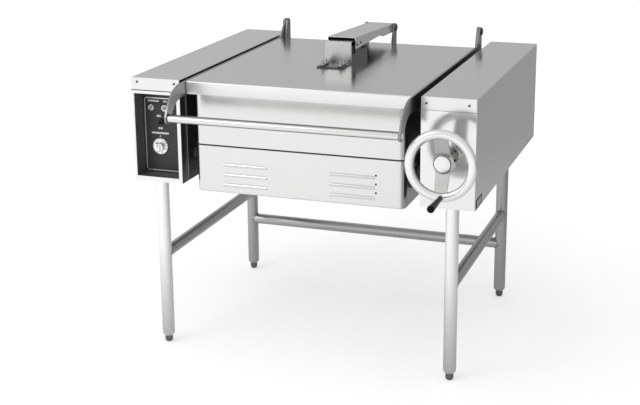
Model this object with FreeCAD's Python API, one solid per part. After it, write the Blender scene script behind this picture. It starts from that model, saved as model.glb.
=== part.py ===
import FreeCAD, Part
import math
import os

from FreeCAD import Vector

# Tilting bratt pan: an electric pan that tips forward between two consoles on a tubular stand.
# X points right, Y to the rear, Z up. Sizes are in millimetres, with X = 0 on the middle of the
# pan, Y = 0 on the front faces of the consoles and Z = 0 on the floor. The finished pieces are
# shifted so that the origin lies on the floor under the middle of the whole machine.

# Consoles
body_half_width = 565.0
console_width = 170.0
console_depth = 965.0
top_height = 914.0
console_height = 342.0
cover_sheet = 2.0
cover_fold_radius = 3.0
front_strip_height = 40.0
strip_seam = 1.2
side_return = 45.0
wall_seam = 0.6
tray_sheet = 2.5
tray_edge = 12.0

# Stand
leg_radius = 20.65
tube_wall = 1.8
leg_inset = 78.0
leg_front_y = 40.0
leg_rear_inset = 167.0
socket_wall = 4.0
socket_height = 13.0
rail_radius = 19.05
side_rail_height = 315.0
rear_rail_height = 204.0
foot_radius = 13.0
foot_height = 22.0
foot_tip_radius = 7.8
foot_crown_radius = 12.0
foot_crown_height = 4.4
foot_shoulder_height = 10.0
foot_stem_radius = 6.0
foot_stem_length = 60.0
foot_gap = 0.5
leg_nose_height = 12.0
leg_nose_step = 7.2
leg_plug_height = 28.0
running_clearance = 0.05

# Rear cross channel with its pan rests
channel_inset = 60.0
channel_depth = 40.0
channel_lift = 8.0
channel_height = 60.0
channel_sheet = 3.0
rest_inset = 57.0
rest_width = 60.0
rest_overlap = 50.0
rest_thickness = 6.5
rest_gap = 0.5

# Pan
pan_side_gap = 48.0
pan_front = 4.0
pan_rear_inset = 115.0
rim_drop = 6.0
vessel_depth = 200.0
heater_depth = 153.0
pan_floor_thickness = 10.0
rim_thickness = 3.0
jacket_sheet = 2.0
jacket_corner = 22.0
vessel_side_gap = 29.0
vessel_front_gap = 28.0
vessel_rear_gap = 38.0
vessel_wall = 3.0
vessel_corner = 45.0
vessel_floor_radius = 20.0
spout_radius = 260.0
spout_depth = 24.0
heater_flange = 20.0
heater_fold_radius = 5.0

# Louvres in the front of the heater box
louvre_inner_x = 105.0
louvre_outer_inset = 97.0
louvre_lift = 22.0
louvre_pitch = 33.0
louvre_rows = 3
louvre_tall = 12.0
louvre_bulge = 4.5
louvre_crown_out = 0.75
louvre_crown_up = 0.6
louvre_sheet = 1.5

# Heating elements under the pan floor
element_radius = 4.5
element_inset = 87.0
hairpin_share = 0.3
element_front_inset = 86.0
element_rear_inset = 80.0
element_sink = 0.8
clamp_height = 9.0
clamp_width = 24.0
clamp_inset = 120.0
clamp_overhang = 30.0
bulb_radius = 4.0
bulb_length = 130.0
bulb_setback = 220.0
clip_width = 28.0
clip_depth = 10.0
clip_inset = 15.0
clip_sheet = 1.0

# Tilt axis, trunnions and bearings
tilt_y = 110.0
tilt_lift = 80.0
trunnion_radius = 20.0
trunnion_flange_radius = 55.0
trunnion_flange = 10.0
trunnion_pad_radius = 50.0
trunnion_pad = 6.0
flange_bolts = 4
flange_bolt_circle = 40.0
flange_bolt_radius = 7.0
flange_bolt_height = 5.0
wall_hole_clearance = 4.0
bearing_square = 92.0
bearing_plate = 12.0
bearing_corner = 12.0
bearing_boss_radius = 34.0
bearing_length = 40.0
left_trunnion_overrun = 8.0
right_trunnion_overrun = 2.0

# Worm drive
gear_module = 4.0
wheel_teeth = 36
pressure_angle = 20.0
worm_diameter_factor = 9.0
mesh_backlash = 0.9
wheel_face = 28.0
wheel_hub_radius = 32.0
wheel_hub_length = 48.0
wheel_web = 12.0
wheel_web_holes = 5
wheel_web_hole_radius = 9.0
worm_length = 62.0
seam_turn = 75.0
lug_gap = 6.0
lug_thickness = 12.0
lug_radius = 20.0
bracket_plate = 8.0
bracket_margin = 8.0
bracket_half_height = 40.0
shaft_overrun = 3.0

# Handwheel and crank
wheel_inset = 75.0
wheel_radius = 108.0
rim_radial = 28.0
rim_axial = 20.0
rim_plane_y = -130.0
hub_radius = 26.5
hub_front_y = -111.0
hub_length = 36.0
hub_cap_radius = 22.0
hub_cap_height = 3.0
spoke_root_width = 44.0
spoke_tip_width = 36.0
spoke_thickness = 9.0
spoke_sink = 6.0
spoke_root_drop = 5.0
spoke_tip_rise = 3.0
hub_chamfer = 3.0
shaft_radius = 10.0
collar_radius = 24.0
collar_thickness = 8.0
collar_neck_radius = 15.0
collar_neck_length = 20.0
crank_circle = 94.0
crank_angle = -88.0
crank_pin_radius = 4.5
crank_shoulder_radius = 9.0
crank_shoulder = 7.0
grip_length = 112.0
grip_root_radius = 7.5
grip_tip_radius = 11.5
grip_root_round = 1.5
grip_tip_round = 9.0
grip_gap = 0.4
grip_crown = 14.0
pin_seat_wall = 4.0

# Lid
lid_side_overhang = 22.0
lid_front_overhang = 10.0
lid_rear_inset = 25.0
lid_flange = 41.0
lid_sheet = 2.5
lid_fold_radius = 3.5
rib_sheet = 2.0
rib_width = 46.0
rib_depth = 13.0
rib_inset = 79.0
rib_front_inset = 156.0
rib_rear_inset = 135.0
rib_count = 3
arm_thickness = 6.0
arm_depth = 45.0
arm_run = 27.0
arm_bend_radius = 125.0
arm_bend_angle = 72.0
arm_hollow = 2.0
bar_radius = 12.7
bar_eye_radius = 17.0

# Lid hinge line
hinge_setback = 42.0
hinge_rise = 47.0
pivot_end_radius = 16.0
pivot_front_angle = 62.0
pivot_crest_angle = -14.0
hinge_pin_radius = 8.0
hinge_head_radius = 12.0
hinge_head = 4.5
hinge_gap = 0.6
arm_rise_run = 66.0
bracket_sheet = 6.0
hinge_bracket_step = 14.0
hinge_boss_radius = 13.0
hinge_bracket_foot = 60.0
hinge_bracket_drop = 128.0
hinge_shoulder_drop = 18.0

# Lid balance: bracket and channel on the lid, clevis on the pan
channel_half_width = 49.0
balance_sheet = 3.0
channel_run = 453.0
channel_rise_front = 37.0
channel_rise_rear = 13.0
channel_drop_front = 2.0
channel_drop_rear = 12.0
channel_end_angle = -135.0
taper_start_run = 285.0
taper_end_run = 320.0
face_run = 37.0
face_rise = 26.0
base_run = 85.0
bracket_base = 4.0
wall_run = 178.0
wall_rise = 32.0
tab_inset = 8.0
tab_run = 62.0
stud_radius = 4.0
stud_height = 17.0
stud_nut_radius = 8.0
stud_nut_height = 6.0
stud_x = 31.0
stud_inset = 18.0
stud_pitch = 34.0
clevis_gap = 1.5
clevis_plate = 6.0
spring_radius = 13.0
spring_rod_radius = 5.0
spring_drop = 1.0
spring_front_run = 108.0
spring_rear_run = 105.0
rod_front_run = 20.0
rod_rear_run = 39.0
hanger_inset = 20.0
hanger_width = 24.0
hanger_sheet = 12.0

# Control recess and control plate
opening_outer_border = 9.0
opening_inner_border = 12.0
opening_low_border = 16.0
opening_top_border = 52.0
recess_sheet = 1.5
plate_y = 60.0
plate_thickness = 3.0
trim_inset = 5.0
trim_top_inset = 24.0
trim_width = 3.0
trim_height = 1.5
trim_corner = 10.0
knob_offset = 58.0
knob_rise = 88.0
dial_radius = 27.0
dial_thickness = 3.0
dial_gap = 0.6
knob_radius = 18.0
knob_tip_radius = 15.0
knob_height = 22.0
knob_grip_width = 11.0
knob_grip_height = 7.0
knob_shaft_radius = 3.0
knob_shaft_hole = 4.0
thermostat_width = 52.0
thermostat_depth = 38.0
switch_offset = 64.0
switch_drop = 104.0
switch_bush_radius = 6.0
switch_nut_radius = 9.5
switch_nut = 3.5
switch_bush_length = 9.0
switch_bore_radius = 4.7
switch_pivot = 3.5
switch_lever_length = 22.0
switch_neck_radius = 1.8
switch_neck_length = 6.0
switch_tip_radius = 3.6
switch_tip_round = 2.0
switch_throw = 13.0
switch_pin_radius = 1.0
switch_body_depth = 30.0
switch_body_width = 16.0
switch_body_height = 30.0
lamp_left_offset = 28.0
lamp_right_offset = 77.0
lamp_drop = 58.0
lamp_radius = 6.5
lamp_bezel_radius = 9.5
lamp_bezel = 2.5
lamp_bezel_edge = 1.0
lamp_dome = 5.0
lamp_shoulder = 3.1
lamp_shoulder_radius = 5.5
lamp_crown_radius = 2.9
lamp_barrel = 18.0
contactor_y = 240.0
contactor_lift = 128.0
contactor_rail_depth = 8.0
contactor_rail_half_height = 17.0
contactor_rail_front = 60.0
contactor_rail_rear = 90.0
contactor_front = 40.0
contactor_rear = 60.0
contactor_low_depth = 60.0
contactor_low_half_height = 42.0
contactor_high_depth = 85.0
contactor_high_half_height = 24.0

# Places that follow from the sizes above
spare = 1.0
inner_face = body_half_width - console_width
console_bottom = top_height - console_height
leg_x = body_half_width - leg_inset
leg_rear_y = console_depth - leg_rear_inset
pan_half_width = inner_face - pan_side_gap
pan_rear = console_depth - pan_rear_inset
rim_height = top_height - rim_drop
pan_floor = rim_height - vessel_depth
pan_bottom = pan_floor - heater_depth
tilt_z = console_bottom + tilt_lift
channel_y = console_depth - channel_inset
channel_bottom = console_bottom + channel_lift
rest_x = pan_half_width - rest_inset
rest_reach = channel_y - pan_rear + rest_overlap
louvre_length = pan_half_width - louvre_outer_inset - louvre_inner_x
louvre_first_height = pan_bottom + louvre_lift
element_outer_x = pan_half_width - element_inset
element_spacing = element_outer_x / (1 + hairpin_share)
element_half_span = element_spacing * hairpin_share
element_front_y = pan_front + element_front_inset
element_rear_y = pan_rear - element_rear_inset
clamp_reach = element_outer_x + clamp_overhang
wheel_x = body_half_width - wheel_inset
lid_half_width = pan_half_width + lid_side_overhang
lid_front = pan_front - lid_front_overhang
lid_rear = pan_rear - lid_rear_inset
rib_reach = lid_half_width - rib_inset
rib_first_y = lid_front + rib_front_inset
rib_last_y = lid_rear - rib_rear_inset
arm_bend_y = lid_front - arm_run
pivot_y = pan_rear + hinge_setback
pivot_z = top_height + hinge_rise
arm_rise_y = pivot_y - arm_rise_run
hinge_bracket_x = pan_half_width + hinge_bracket_step
hinge_bracket_low = rim_height - hinge_bracket_drop
hinge_bracket_shoulder = rim_height - hinge_shoulder_drop
channel_front_y = pivot_y - channel_run
channel_top_front = pivot_z + channel_rise_front
channel_top_rear = pivot_z + channel_rise_rear
channel_low_front = pivot_z - channel_drop_front
channel_low_rear = pivot_z - channel_drop_rear
channel_taper_start = channel_front_y + taper_start_run
channel_taper_end = channel_front_y + taper_end_run
bracket_front_y = channel_front_y - face_run
bracket_face_top = pivot_z + face_rise
bracket_base_front = bracket_front_y - base_run
bracket_wall_end = bracket_front_y + wall_run
bracket_wall_top = top_height + wall_rise
stud_first_y = bracket_base_front + stud_inset
spring_z = pivot_z - spring_drop
spring_front_y = channel_front_y + spring_front_run
spring_rear_y = pivot_y - spring_rear_run
opening_left = -(body_half_width - opening_outer_border)
opening_right = -(inner_face + opening_inner_border)
opening_bottom = console_bottom + opening_low_border
opening_top = top_height - opening_top_border
trim_top = opening_top - trim_top_inset
knob_x = opening_left + knob_offset
knob_z = opening_bottom + knob_rise
switch_x = opening_left + switch_offset
switch_z = opening_top - switch_drop
lamp_left_x = opening_left + lamp_left_offset
lamp_right_x = opening_left + lamp_right_offset
lamp_z = opening_top - lamp_drop
contactor_z = console_bottom + contactor_lift
seat_z = top_height - front_strip_height - strip_seam
pitch_radius = gear_module * wheel_teeth / 2
worm_pitch_radius = gear_module * worm_diameter_factor / 2
worm_z = tilt_z + pitch_radius + worm_pitch_radius
worm_pitch = math.pi * gear_module
lead_slope = 1.0 / worm_diameter_factor
vessel_half = pan_half_width - vessel_side_gap
vessel_front = pan_front + vessel_front_gap
vessel_rear = pan_rear - vessel_rear_gap
arm_bend_z = top_height - arm_bend_radius
bar_circle = arm_bend_radius - bar_eye_radius
bar_y = arm_bend_y - bar_circle * math.sin(math.radians(arm_bend_angle))
bar_z = arm_bend_z + bar_circle * math.cos(math.radians(arm_bend_angle))
crank_x = wheel_x + crank_circle * math.cos(math.radians(crank_angle))
crank_z = worm_z + crank_circle * math.sin(math.radians(crank_angle))
grip_root_y = rim_plane_y - rim_axial / 2 - crank_shoulder - grip_gap
grip_tip_y = grip_root_y - grip_length
pin_seat_y = rim_plane_y + rim_axial / 2 - pin_seat_wall
origin_x = (wheel_x + wheel_radius - body_half_width) / 2
origin_y = (console_depth + grip_tip_y) / 2

along_x = Vector(1, 0, 0)
along_y = Vector(0, 1, 0)
along_z = Vector(0, 0, 1)


# Basic forms

def block(x0, x1, y0, y1, z0, z1):
    return Part.makeBox(x1 - x0, y1 - y0, z1 - z0, Vector(x0, y0, z0))


def edges_along(shape, axis):
    straight = [e for e in shape.Edges if isinstance(e.Curve, Part.Line)]
    return [e for e in straight if abs(e.tangentAt(e.FirstParameter).dot(axis)) > 0.999]


def rounded_block(x0, x1, y0, y1, z0, z1, radius, axis):
    solid = block(x0, x1, y0, y1, z0, z1)
    return solid.makeFillet(radius, edges_along(solid, axis))


def rod_x(radius, x0, x1, y, z):
    return Part.makeCylinder(radius, x1 - x0, Vector(x0, y, z), along_x)


def rod_y(radius, y0, y1, x, z):
    return Part.makeCylinder(radius, y1 - y0, Vector(x, y0, z), along_y)


def rod_z(radius, z0, z1, x, y):
    return Part.makeCylinder(radius, z1 - z0, Vector(x, y, z0), along_z)


def join(pieces):
    return pieces[0].fuse(pieces[1:])


def side_outline(start, steps):
    """Face in the YZ plane: a step is a (y, z) point, or a pair of points for an arc."""
    edges = []
    here = Vector(0, start[0], start[1])
    for step in steps:
        if isinstance(step[0], tuple):
            middle = Vector(0, step[0][0], step[0][1])
            there = Vector(0, step[1][0], step[1][1])
            edges.append(Part.Arc(here, middle, there).toShape())
        else:
            there = Vector(0, step[0], step[1])
            edges.append(Part.LineSegment(here, there).toShape())
        here = there
    return Part.Face(Part.Wire(edges))


def side_plate(x0, x1, start, steps):
    face = side_outline(start, steps)
    face.translate(Vector(x0, 0, 0))
    return face.extrude(Vector(x1 - x0, 0, 0))


def turned(points, axis_point, axis):
    """Solid turned from (radius, distance along the axis) points."""
    side = along_z if abs(axis.z) < 0.5 else along_x
    corners = [axis_point + side * r + axis * d for r, d in points]
    face = Part.Face(Part.makePolygon(corners + [corners[0]]))
    return face.revolve(axis_point, axis, 360)


def polar(y, z, radius, degrees):
    """Point at an angle that is measured from straight up towards the front."""
    turn = math.radians(degrees)
    return (y - radius * math.sin(turn), z + radius * math.cos(turn))


def mirrored(shape):
    return shape.mirror(Vector(0, 0, 0), along_x)


def save(node, shape):
    if len(shape.Solids) == 1:
        shape = shape.Solids[0]
    placed = shape.copy()
    placed.translate(Vector(-origin_x, -origin_y, 0))
    placed.exportStep(f"parts/{node}.step")


# Stand

def leg(x, y):
    nose = foot_height + foot_gap
    plug = nose + leg_plug_height
    top = console_bottom + socket_height - spare
    bore = foot_stem_radius + running_clearance
    inside = leg_radius - tube_wall
    profile = [
        (bore, nose), (foot_radius + spare, nose), (leg_radius - tube_wall / 2, nose + leg_nose_step),
        (leg_radius, nose + leg_nose_height), (leg_radius, top), (inside, top), (inside, plug), (bore, plug),
    ]
    return turned(profile, Vector(x, y, 0), along_z)


def foot(x, y):
    top = foot_height + foot_stem_length
    profile = [
        (0, 0), (foot_tip_radius, 0), (foot_crown_radius, foot_crown_height),
        (foot_radius, foot_shoulder_height), (foot_radius, foot_height), (foot_stem_radius, foot_height),
        (foot_stem_radius, top), (0, top),
    ]
    return turned(profile, Vector(x, y, 0), along_z)


def leg_space(x, y):
    return rod_z(leg_radius, 0, top_height, x, y)


def side_rail(x):
    tube = rod_y(rail_radius, leg_front_y, leg_rear_y, x, side_rail_height)
    tube = tube.cut(rod_y(rail_radius - tube_wall, leg_front_y, leg_rear_y, x, side_rail_height))
    return tube.cut(join([leg_space(x, leg_front_y), leg_space(x, leg_rear_y)]))


def rear_rail():
    tube = rod_x(rail_radius, -leg_x, leg_x, leg_rear_y, rear_rail_height)
    tube = tube.cut(rod_x(rail_radius - tube_wall, -leg_x, leg_x, leg_rear_y, rear_rail_height))
    return tube.cut(join([leg_space(-leg_x, leg_rear_y), leg_space(leg_x, leg_rear_y)]))


def base_tray():
    """Floor tray of the right console, with sockets for its two legs."""
    x0 = inner_face + cover_sheet
    x1 = body_half_width - cover_sheet
    y0 = cover_sheet
    y1 = console_depth - cover_sheet
    tray = block(x0, x1, y0, y1, console_bottom, console_bottom + tray_edge)
    hollow = block(x0 + tray_sheet, x1 - tray_sheet, y0 + tray_sheet, y1 - tray_sheet,
                   console_bottom + tray_sheet, console_bottom + tray_edge)
    tray = tray.cut(hollow)
    for y in (leg_front_y, leg_rear_y):
        socket = rod_z(leg_radius + socket_wall, console_bottom, console_bottom + socket_height, leg_x, y)
        tray = tray.fuse(socket).cut(leg_space(leg_x, y))
    return tray


def cross_channel():
    """Channel that ties the consoles together at the rear and carries the two pan rests."""
    y1 = channel_y + channel_depth
    z1 = channel_bottom + channel_height
    beam = block(-inner_face, inner_face, channel_y, y1, channel_bottom, z1)
    hollow = block(-inner_face, inner_face, channel_y + channel_sheet, y1,
                   channel_bottom + channel_sheet, z1 - channel_sheet)
    pieces = [beam.cut(hollow)]
    rest_top = pan_bottom - rest_gap
    for x in (-rest_x, rest_x):
        hanger_y = channel_y - rest_thickness
        x0 = x - rest_width / 2
        x1 = x + rest_width / 2
        pieces.append(block(x0, x1, hanger_y, channel_y, rest_top - rest_thickness, z1))
        pieces.append(block(x0, x1, channel_y - rest_reach, channel_y, rest_top - rest_thickness, rest_top))
    return join(pieces)


# Console shells

def console_cover():
    """Top, outer side, rear wall and front strip of the right console, folded from one sheet."""
    x1 = body_half_width
    outside = block(inner_face, x1, 0, console_depth, console_bottom, top_height)
    fold = [e for e in edges_along(outside, along_y) if e.CenterOfMass.z > top_height - spare]
    corner = [e for e in edges_along(outside, along_z) if e.CenterOfMass.x > x1 - spare]
    outside = outside.makeFillet(cover_fold_radius, fold + corner)
    hollow = block(inner_face - spare, x1 - cover_sheet, cover_sheet, console_depth - cover_sheet,
                   console_bottom - spare, top_height - cover_sheet)
    doorway = block(inner_face - spare, x1 - cover_sheet, -spare, cover_sheet,
                    console_bottom - spare, seat_z + strip_seam)
    return outside.cut(hollow).cut(doorway)


def front_panel():
    """Front sheet of the right console with its fold along the pan side."""
    sheet = block(inner_face, body_half_width - cover_sheet, 0, cover_sheet, console_bottom, seat_z)
    fold = block(inner_face, inner_face + cover_sheet, 0, side_return, console_bottom, seat_z)
    return sheet.fuse(fold)


def drive_front_panel():
    return front_panel().cut(rod_y(collar_neck_radius, -spare, cover_sheet + spare, wheel_x, worm_z))


def control_front_frame():
    opening = block(opening_left, opening_right, -spare, cover_sheet, opening_bottom, opening_top)
    return mirrored(front_panel()).cut(opening)


def inner_wall():
    """Side sheet of the right console that faces the pan, with the trunnion hole."""
    wall = block(inner_face, inner_face + cover_sheet, side_return + wall_seam, console_depth - cover_sheet,
                 console_bottom, top_height - cover_sheet)
    hole_radius = trunnion_radius + wall_hole_clearance
    return wall.cut(rod_x(hole_radius, inner_face - spare, inner_face + 2 * cover_sheet, tilt_y, tilt_z))


# Control side

def recess_box():
    outer = block(opening_left - recess_sheet, opening_right + recess_sheet, cover_sheet,
                  plate_y + plate_thickness, opening_bottom - recess_sheet, opening_top + recess_sheet)
    return outer.cut(block(opening_left, opening_right, cover_sheet, plate_y + plate_thickness,
                           opening_bottom, opening_top))


def control_plate():
    back = plate_y + plate_thickness
    plate = block(opening_left, opening_right, plate_y, back, opening_bottom, opening_top)
    holes = [rod_y(knob_shaft_hole, plate_y, back, knob_x, knob_z),
             rod_y(switch_bush_radius, plate_y, back, switch_x, switch_z),
             rod_y(lamp_radius, plate_y, back, lamp_left_x, lamp_z),
             rod_y(lamp_radius, plate_y, back, lamp_right_x, lamp_z)]
    return plate.cut(join(holes))


def control_trim():
    x0 = opening_left + trim_inset
    x1 = opening_right - trim_inset
    z0 = opening_bottom + trim_inset
    y0 = plate_y - trim_height
    outer = rounded_block(x0, x1, y0, plate_y, z0, trim_top, trim_corner, along_y)
    inner = rounded_block(x0 + trim_width, x1 - trim_width, y0, plate_y, z0 + trim_width,
                          trim_top - trim_width, trim_corner - trim_width, along_y)
    return outer.cut(inner)


def thermostat_knob():
    """Turned knob on its shaft, with a flat finger grip across the front."""
    back = dial_gap
    skirt = back + dial_thickness
    front = skirt + knob_height
    inside_end = -(plate_thickness + thermostat_depth / 2)
    base = Vector(knob_x, plate_y, knob_z)
    body = turned([(0, inside_end), (knob_shaft_radius, inside_end), (knob_shaft_radius, back),
                   (dial_radius, back), (dial_radius, skirt - 1), (dial_radius - 1, skirt),
                   (knob_radius, skirt), (knob_tip_radius, front - 2), (knob_tip_radius - 2, front),
                   (0, front)], base, -along_y)
    front_y = plate_y - front
    half = knob_grip_width / 2
    for side in (-1, 1):
        x0 = knob_x + side * half
        x1 = knob_x + side * knob_radius
        body = body.cut(block(min(x0, x1), max(x0, x1), front_y, front_y + knob_grip_height,
                              knob_z - knob_radius, knob_z + knob_radius))
    return body


def thermostat_body():
    half = thermostat_width / 2
    y0 = plate_y + plate_thickness
    body = rounded_block(knob_x - half, knob_x + half, y0, y0 + thermostat_depth,
                         knob_z - half, knob_z + half, 5.0, along_y)
    hole = rod_y(knob_shaft_radius + running_clearance, y0, y0 + thermostat_depth * 0.7, knob_x, knob_z)
    return body.cut(hole)


def power_switch():
    """Threaded bush with its nut in front of the plate and the switch body behind it."""
    bush_front = plate_y - switch_bush_length
    back = plate_y + plate_thickness
    bush = rod_y(switch_bush_radius, bush_front, back, switch_x, switch_z)
    nut = rod_y(switch_nut_radius, plate_y - switch_nut, plate_y, switch_x, switch_z)
    body = block(switch_x - switch_body_width / 2, switch_x + switch_body_width / 2, back,
                 back + switch_body_depth, switch_z - switch_body_height / 2,
                 switch_z + switch_body_height / 2)
    bore = rod_y(switch_bore_radius, bush_front, plate_y + plate_thickness / 2, switch_x, switch_z)
    pin_hole = rod_x(switch_pin_radius + running_clearance, switch_x - switch_bush_radius,
                     switch_x + switch_bush_radius, plate_y - switch_pivot, switch_z)
    return join([bush, nut, body]).cut(bore.fuse(pin_hole))


def power_switch_lever():
    """Bat lever on its ball and cross pin, in the lower of its two positions."""
    pivot = Vector(switch_x, plate_y - switch_pivot, switch_z)
    length = switch_lever_length
    tip = switch_tip_radius
    lever = turned([(0, 0), (switch_neck_radius, 0), (switch_neck_radius, switch_neck_length), (tip, length),
                    (0, length)], pivot, -along_y)
    end_y = pivot.y - length + 0.01
    lever = lever.makeFillet(switch_tip_round, [e for e in lever.Edges if e.CenterOfMass.y < end_y])
    ball = Part.makeSphere(switch_bore_radius - running_clearance, pivot)
    pin_half = switch_bush_radius - running_clearance
    pin = rod_x(switch_pin_radius, switch_x - pin_half, switch_x + pin_half, pivot.y, switch_z)
    lever = join([lever, ball, pin])
    lever.rotate(pivot, along_x, switch_throw)
    return lever


def pilot_lamp(x):
    base = Vector(x, plate_y, lamp_z)
    inside_end = -(plate_thickness + lamp_barrel)
    lens = lamp_bezel + lamp_dome
    return turned([(0, inside_end), (lamp_radius, inside_end), (lamp_radius, 0), (lamp_bezel_radius, 0),
                   (lamp_bezel_radius, lamp_bezel - lamp_bezel_edge),
                   (lamp_bezel_radius - lamp_bezel_edge, lamp_bezel), (lamp_radius, lamp_bezel),
                   (lamp_shoulder_radius, lamp_bezel + lamp_shoulder), (lamp_crown_radius, lens),
                   (0, lens)], base, -along_y)


def contactor():
    """Stepped contactor block on its rail, on the outer wall of the left console."""
    wall = -(body_half_width - cover_sheet)
    y = contactor_y
    z = contactor_z
    pieces = []
    for x1, y0, y1, half in (
            (contactor_rail_depth, contactor_rail_front, contactor_rail_rear, contactor_rail_half_height),
            (contactor_low_depth, contactor_front, contactor_rear, contactor_low_half_height),
            (contactor_high_depth, contactor_front, contactor_rear, contactor_high_half_height)):
        pieces.append(block(wall, wall + x1, y - y0, y + y1, z - half, z + half))
    return join(pieces)


# Pan

def vessel_blank(grow, z0, z1):
    return rounded_block(-vessel_half - grow, vessel_half + grow, vessel_front - grow, vessel_rear + grow,
                         z0, z1, vessel_corner + grow, along_z)


def spout_space(radius, y0, y1):
    return rod_y(radius, y0, y1, 0, rim_height + spout_radius - spout_depth)


def pan_shell():
    """Welded cooking vessel: thick floor, coved walls, rim flange and a dished pouring spout."""
    rim_bottom = rim_height - rim_thickness
    body = vessel_blank(0, pan_floor, rim_height)
    inside = jacket_sheet
    plate = rounded_block(-pan_half_width + inside, pan_half_width - inside, pan_front + inside,
                          pan_rear - inside, pan_floor, pan_floor + pan_floor_thickness,
                          jacket_corner - inside, along_z)
    rim = rounded_block(-pan_half_width, pan_half_width, pan_front, pan_rear, rim_bottom, rim_height,
                        jacket_corner, along_z)
    cavity = vessel_blank(-vessel_wall, pan_floor + pan_floor_thickness, rim_height + vessel_corner)
    low = [e for e in cavity.Edges if abs(e.CenterOfMass.z - pan_floor - pan_floor_thickness) < 0.01]
    cavity = cavity.makeFillet(vessel_floor_radius, low)
    spout_end = vessel_front + vessel_wall
    notch = spout_space(spout_radius, pan_front - spare, spout_end)
    band = spout_space(spout_radius + vessel_wall, pan_front, spout_end)
    front_part = block(-pan_half_width, pan_half_width, 0, spout_end, pan_floor, rim_height)
    band = band.cut(notch).common(front_part)
    shell = join([body, plate, rim]).cut(cavity).cut(notch)
    return shell.fuse(band)


def pan_jacket():
    """Outer jacket round the vessel, from the pan floor up to the rim flange."""
    z0 = pan_floor + cover_sheet
    z1 = rim_height - rim_thickness
    outer = rounded_block(-pan_half_width, pan_half_width, pan_front, pan_rear, z0, z1, jacket_corner,
                          along_z)
    s = jacket_sheet
    inner = rounded_block(-pan_half_width + s, pan_half_width - s, pan_front + s, pan_rear - s,
                          z0, z1, jacket_corner - s, along_z)
    return outer.cut(inner).cut(spout_space(spout_radius + vessel_wall, 0, vessel_front))


def louvre(x0, x1, z0):
    """Hood pressed outward from the front sheet, open along its lower edge."""
    wall_y = pan_front
    z1 = z0 + louvre_tall
    lip = (wall_y - louvre_bulge, z0)
    crown = (wall_y - louvre_bulge * louvre_crown_out, z0 + louvre_tall * louvre_crown_up)
    inside = wall_y + jacket_sheet
    hood = side_plate(x0, x1, (inside, z0), [lip, (crown, (wall_y, z1)), (inside, z1), (inside, z0)])
    t = louvre_sheet
    inner_crown = (crown[0] + t, crown[1] - t)
    hollow = side_plate(x0 + t, x1 - t, (inside, z0),
                        [(lip[0] + t, z0), (inner_crown, (wall_y + t, z1 - t)), (inside, z1 - t),
                         (inside, z0)])
    return hood, hollow


def heater_box():
    """Lower casing with the louvred front; its inward top flange bolts to the pan floor."""
    s = jacket_sheet
    outer = rounded_block(-pan_half_width, pan_half_width, pan_front, pan_rear, pan_bottom, pan_floor,
                          jacket_corner, along_z)
    low = [e for e in outer.Edges if abs(e.CenterOfMass.z - pan_bottom) < 0.01]
    outer = outer.makeFillet(heater_fold_radius, low)
    inner = rounded_block(-pan_half_width + s, pan_half_width - s, pan_front + s, pan_rear - s,
                          pan_bottom + s, pan_floor - s, jacket_corner - s, along_z)
    f = heater_flange
    mouth = block(-pan_half_width + f, pan_half_width - f, pan_front + f, pan_rear - f,
                  pan_floor - s, pan_floor)
    box = outer.cut(inner).cut(mouth)
    for side in (-1, 1):
        start = louvre_inner_x if side > 0 else -louvre_inner_x - louvre_length
        for row in range(louvre_rows):
            hood, hollow = louvre(start, start + louvre_length, louvre_first_height + row * louvre_pitch)
            box = box.fuse(hood).cut(hollow)
        face = side * (pan_half_width - s)
        pad = rod_x(trunnion_pad_radius, min(face, face - side * trunnion_pad),
                    max(face, face - side * trunnion_pad), tilt_y, tilt_z)
        box = box.fuse(pad)
    return box


def hairpin(x, z):
    """Tubular element bent to a hairpin with its bend in front."""
    left = x - element_half_span
    right = x + element_half_span
    front = element_front_y
    rear = element_rear_y
    bend = Part.Arc(Vector(left, front, z), Vector(x, front - element_half_span, z), Vector(right, front, z))
    route = Part.Wire([Part.makeLine(Vector(left, rear, z), Vector(left, front, z)), bend.toShape(),
                       Part.makeLine(Vector(right, front, z), Vector(right, rear, z))])
    profile = Part.Wire([Part.makeCircle(element_radius, Vector(left, rear, z), along_y)])
    return route.makePipeShell([profile], True, False)


def heating_elements():
    """Three hairpin elements held to the pan floor by two clamp bars."""
    bar_low = pan_floor - clamp_height
    element_z = bar_low - element_radius + element_sink
    pieces = []
    for y in (element_front_y + clamp_inset, element_rear_y - clamp_inset):
        pieces.append(block(-clamp_reach, clamp_reach, y, y + clamp_width, bar_low, pan_floor))
    for column in (-1, 0, 1):
        pieces.append(hairpin(column * element_spacing, element_z))
    return join(pieces)


def thermostat_bulb():
    """Sensing bulb with two saddle clips against the pan floor."""
    x = element_spacing / 2
    z = pan_floor - bulb_radius
    y0 = element_front_y + bulb_setback
    bulb = rod_y(bulb_radius, y0, y0 + bulb_length, x, z)
    half = clip_width / 2
    clips = [block(x - half, x + half, y, y + clip_depth, z - bulb_radius - clip_sheet, pan_floor)
             for y in (y0 + clip_inset, y0 + bulb_length - clip_inset - clip_depth)]
    return join([bulb] + clips)


def trunnion(end_x):
    """Flanged trunnion of the right side, bolted through the heater box wall."""
    wall = pan_half_width
    start = wall + trunnion_flange
    pieces = [rod_x(trunnion_flange_radius, wall, start, tilt_y, tilt_z),
              rod_x(trunnion_radius, start, end_x, tilt_y, tilt_z)]
    for index in range(flange_bolts):
        y, z = polar(tilt_y, tilt_z, flange_bolt_circle, 45 + 360 * index / flange_bolts)
        pieces.append(rod_x(flange_bolt_radius, start, start + flange_bolt_height, y, z))
    return join(pieces)


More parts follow.
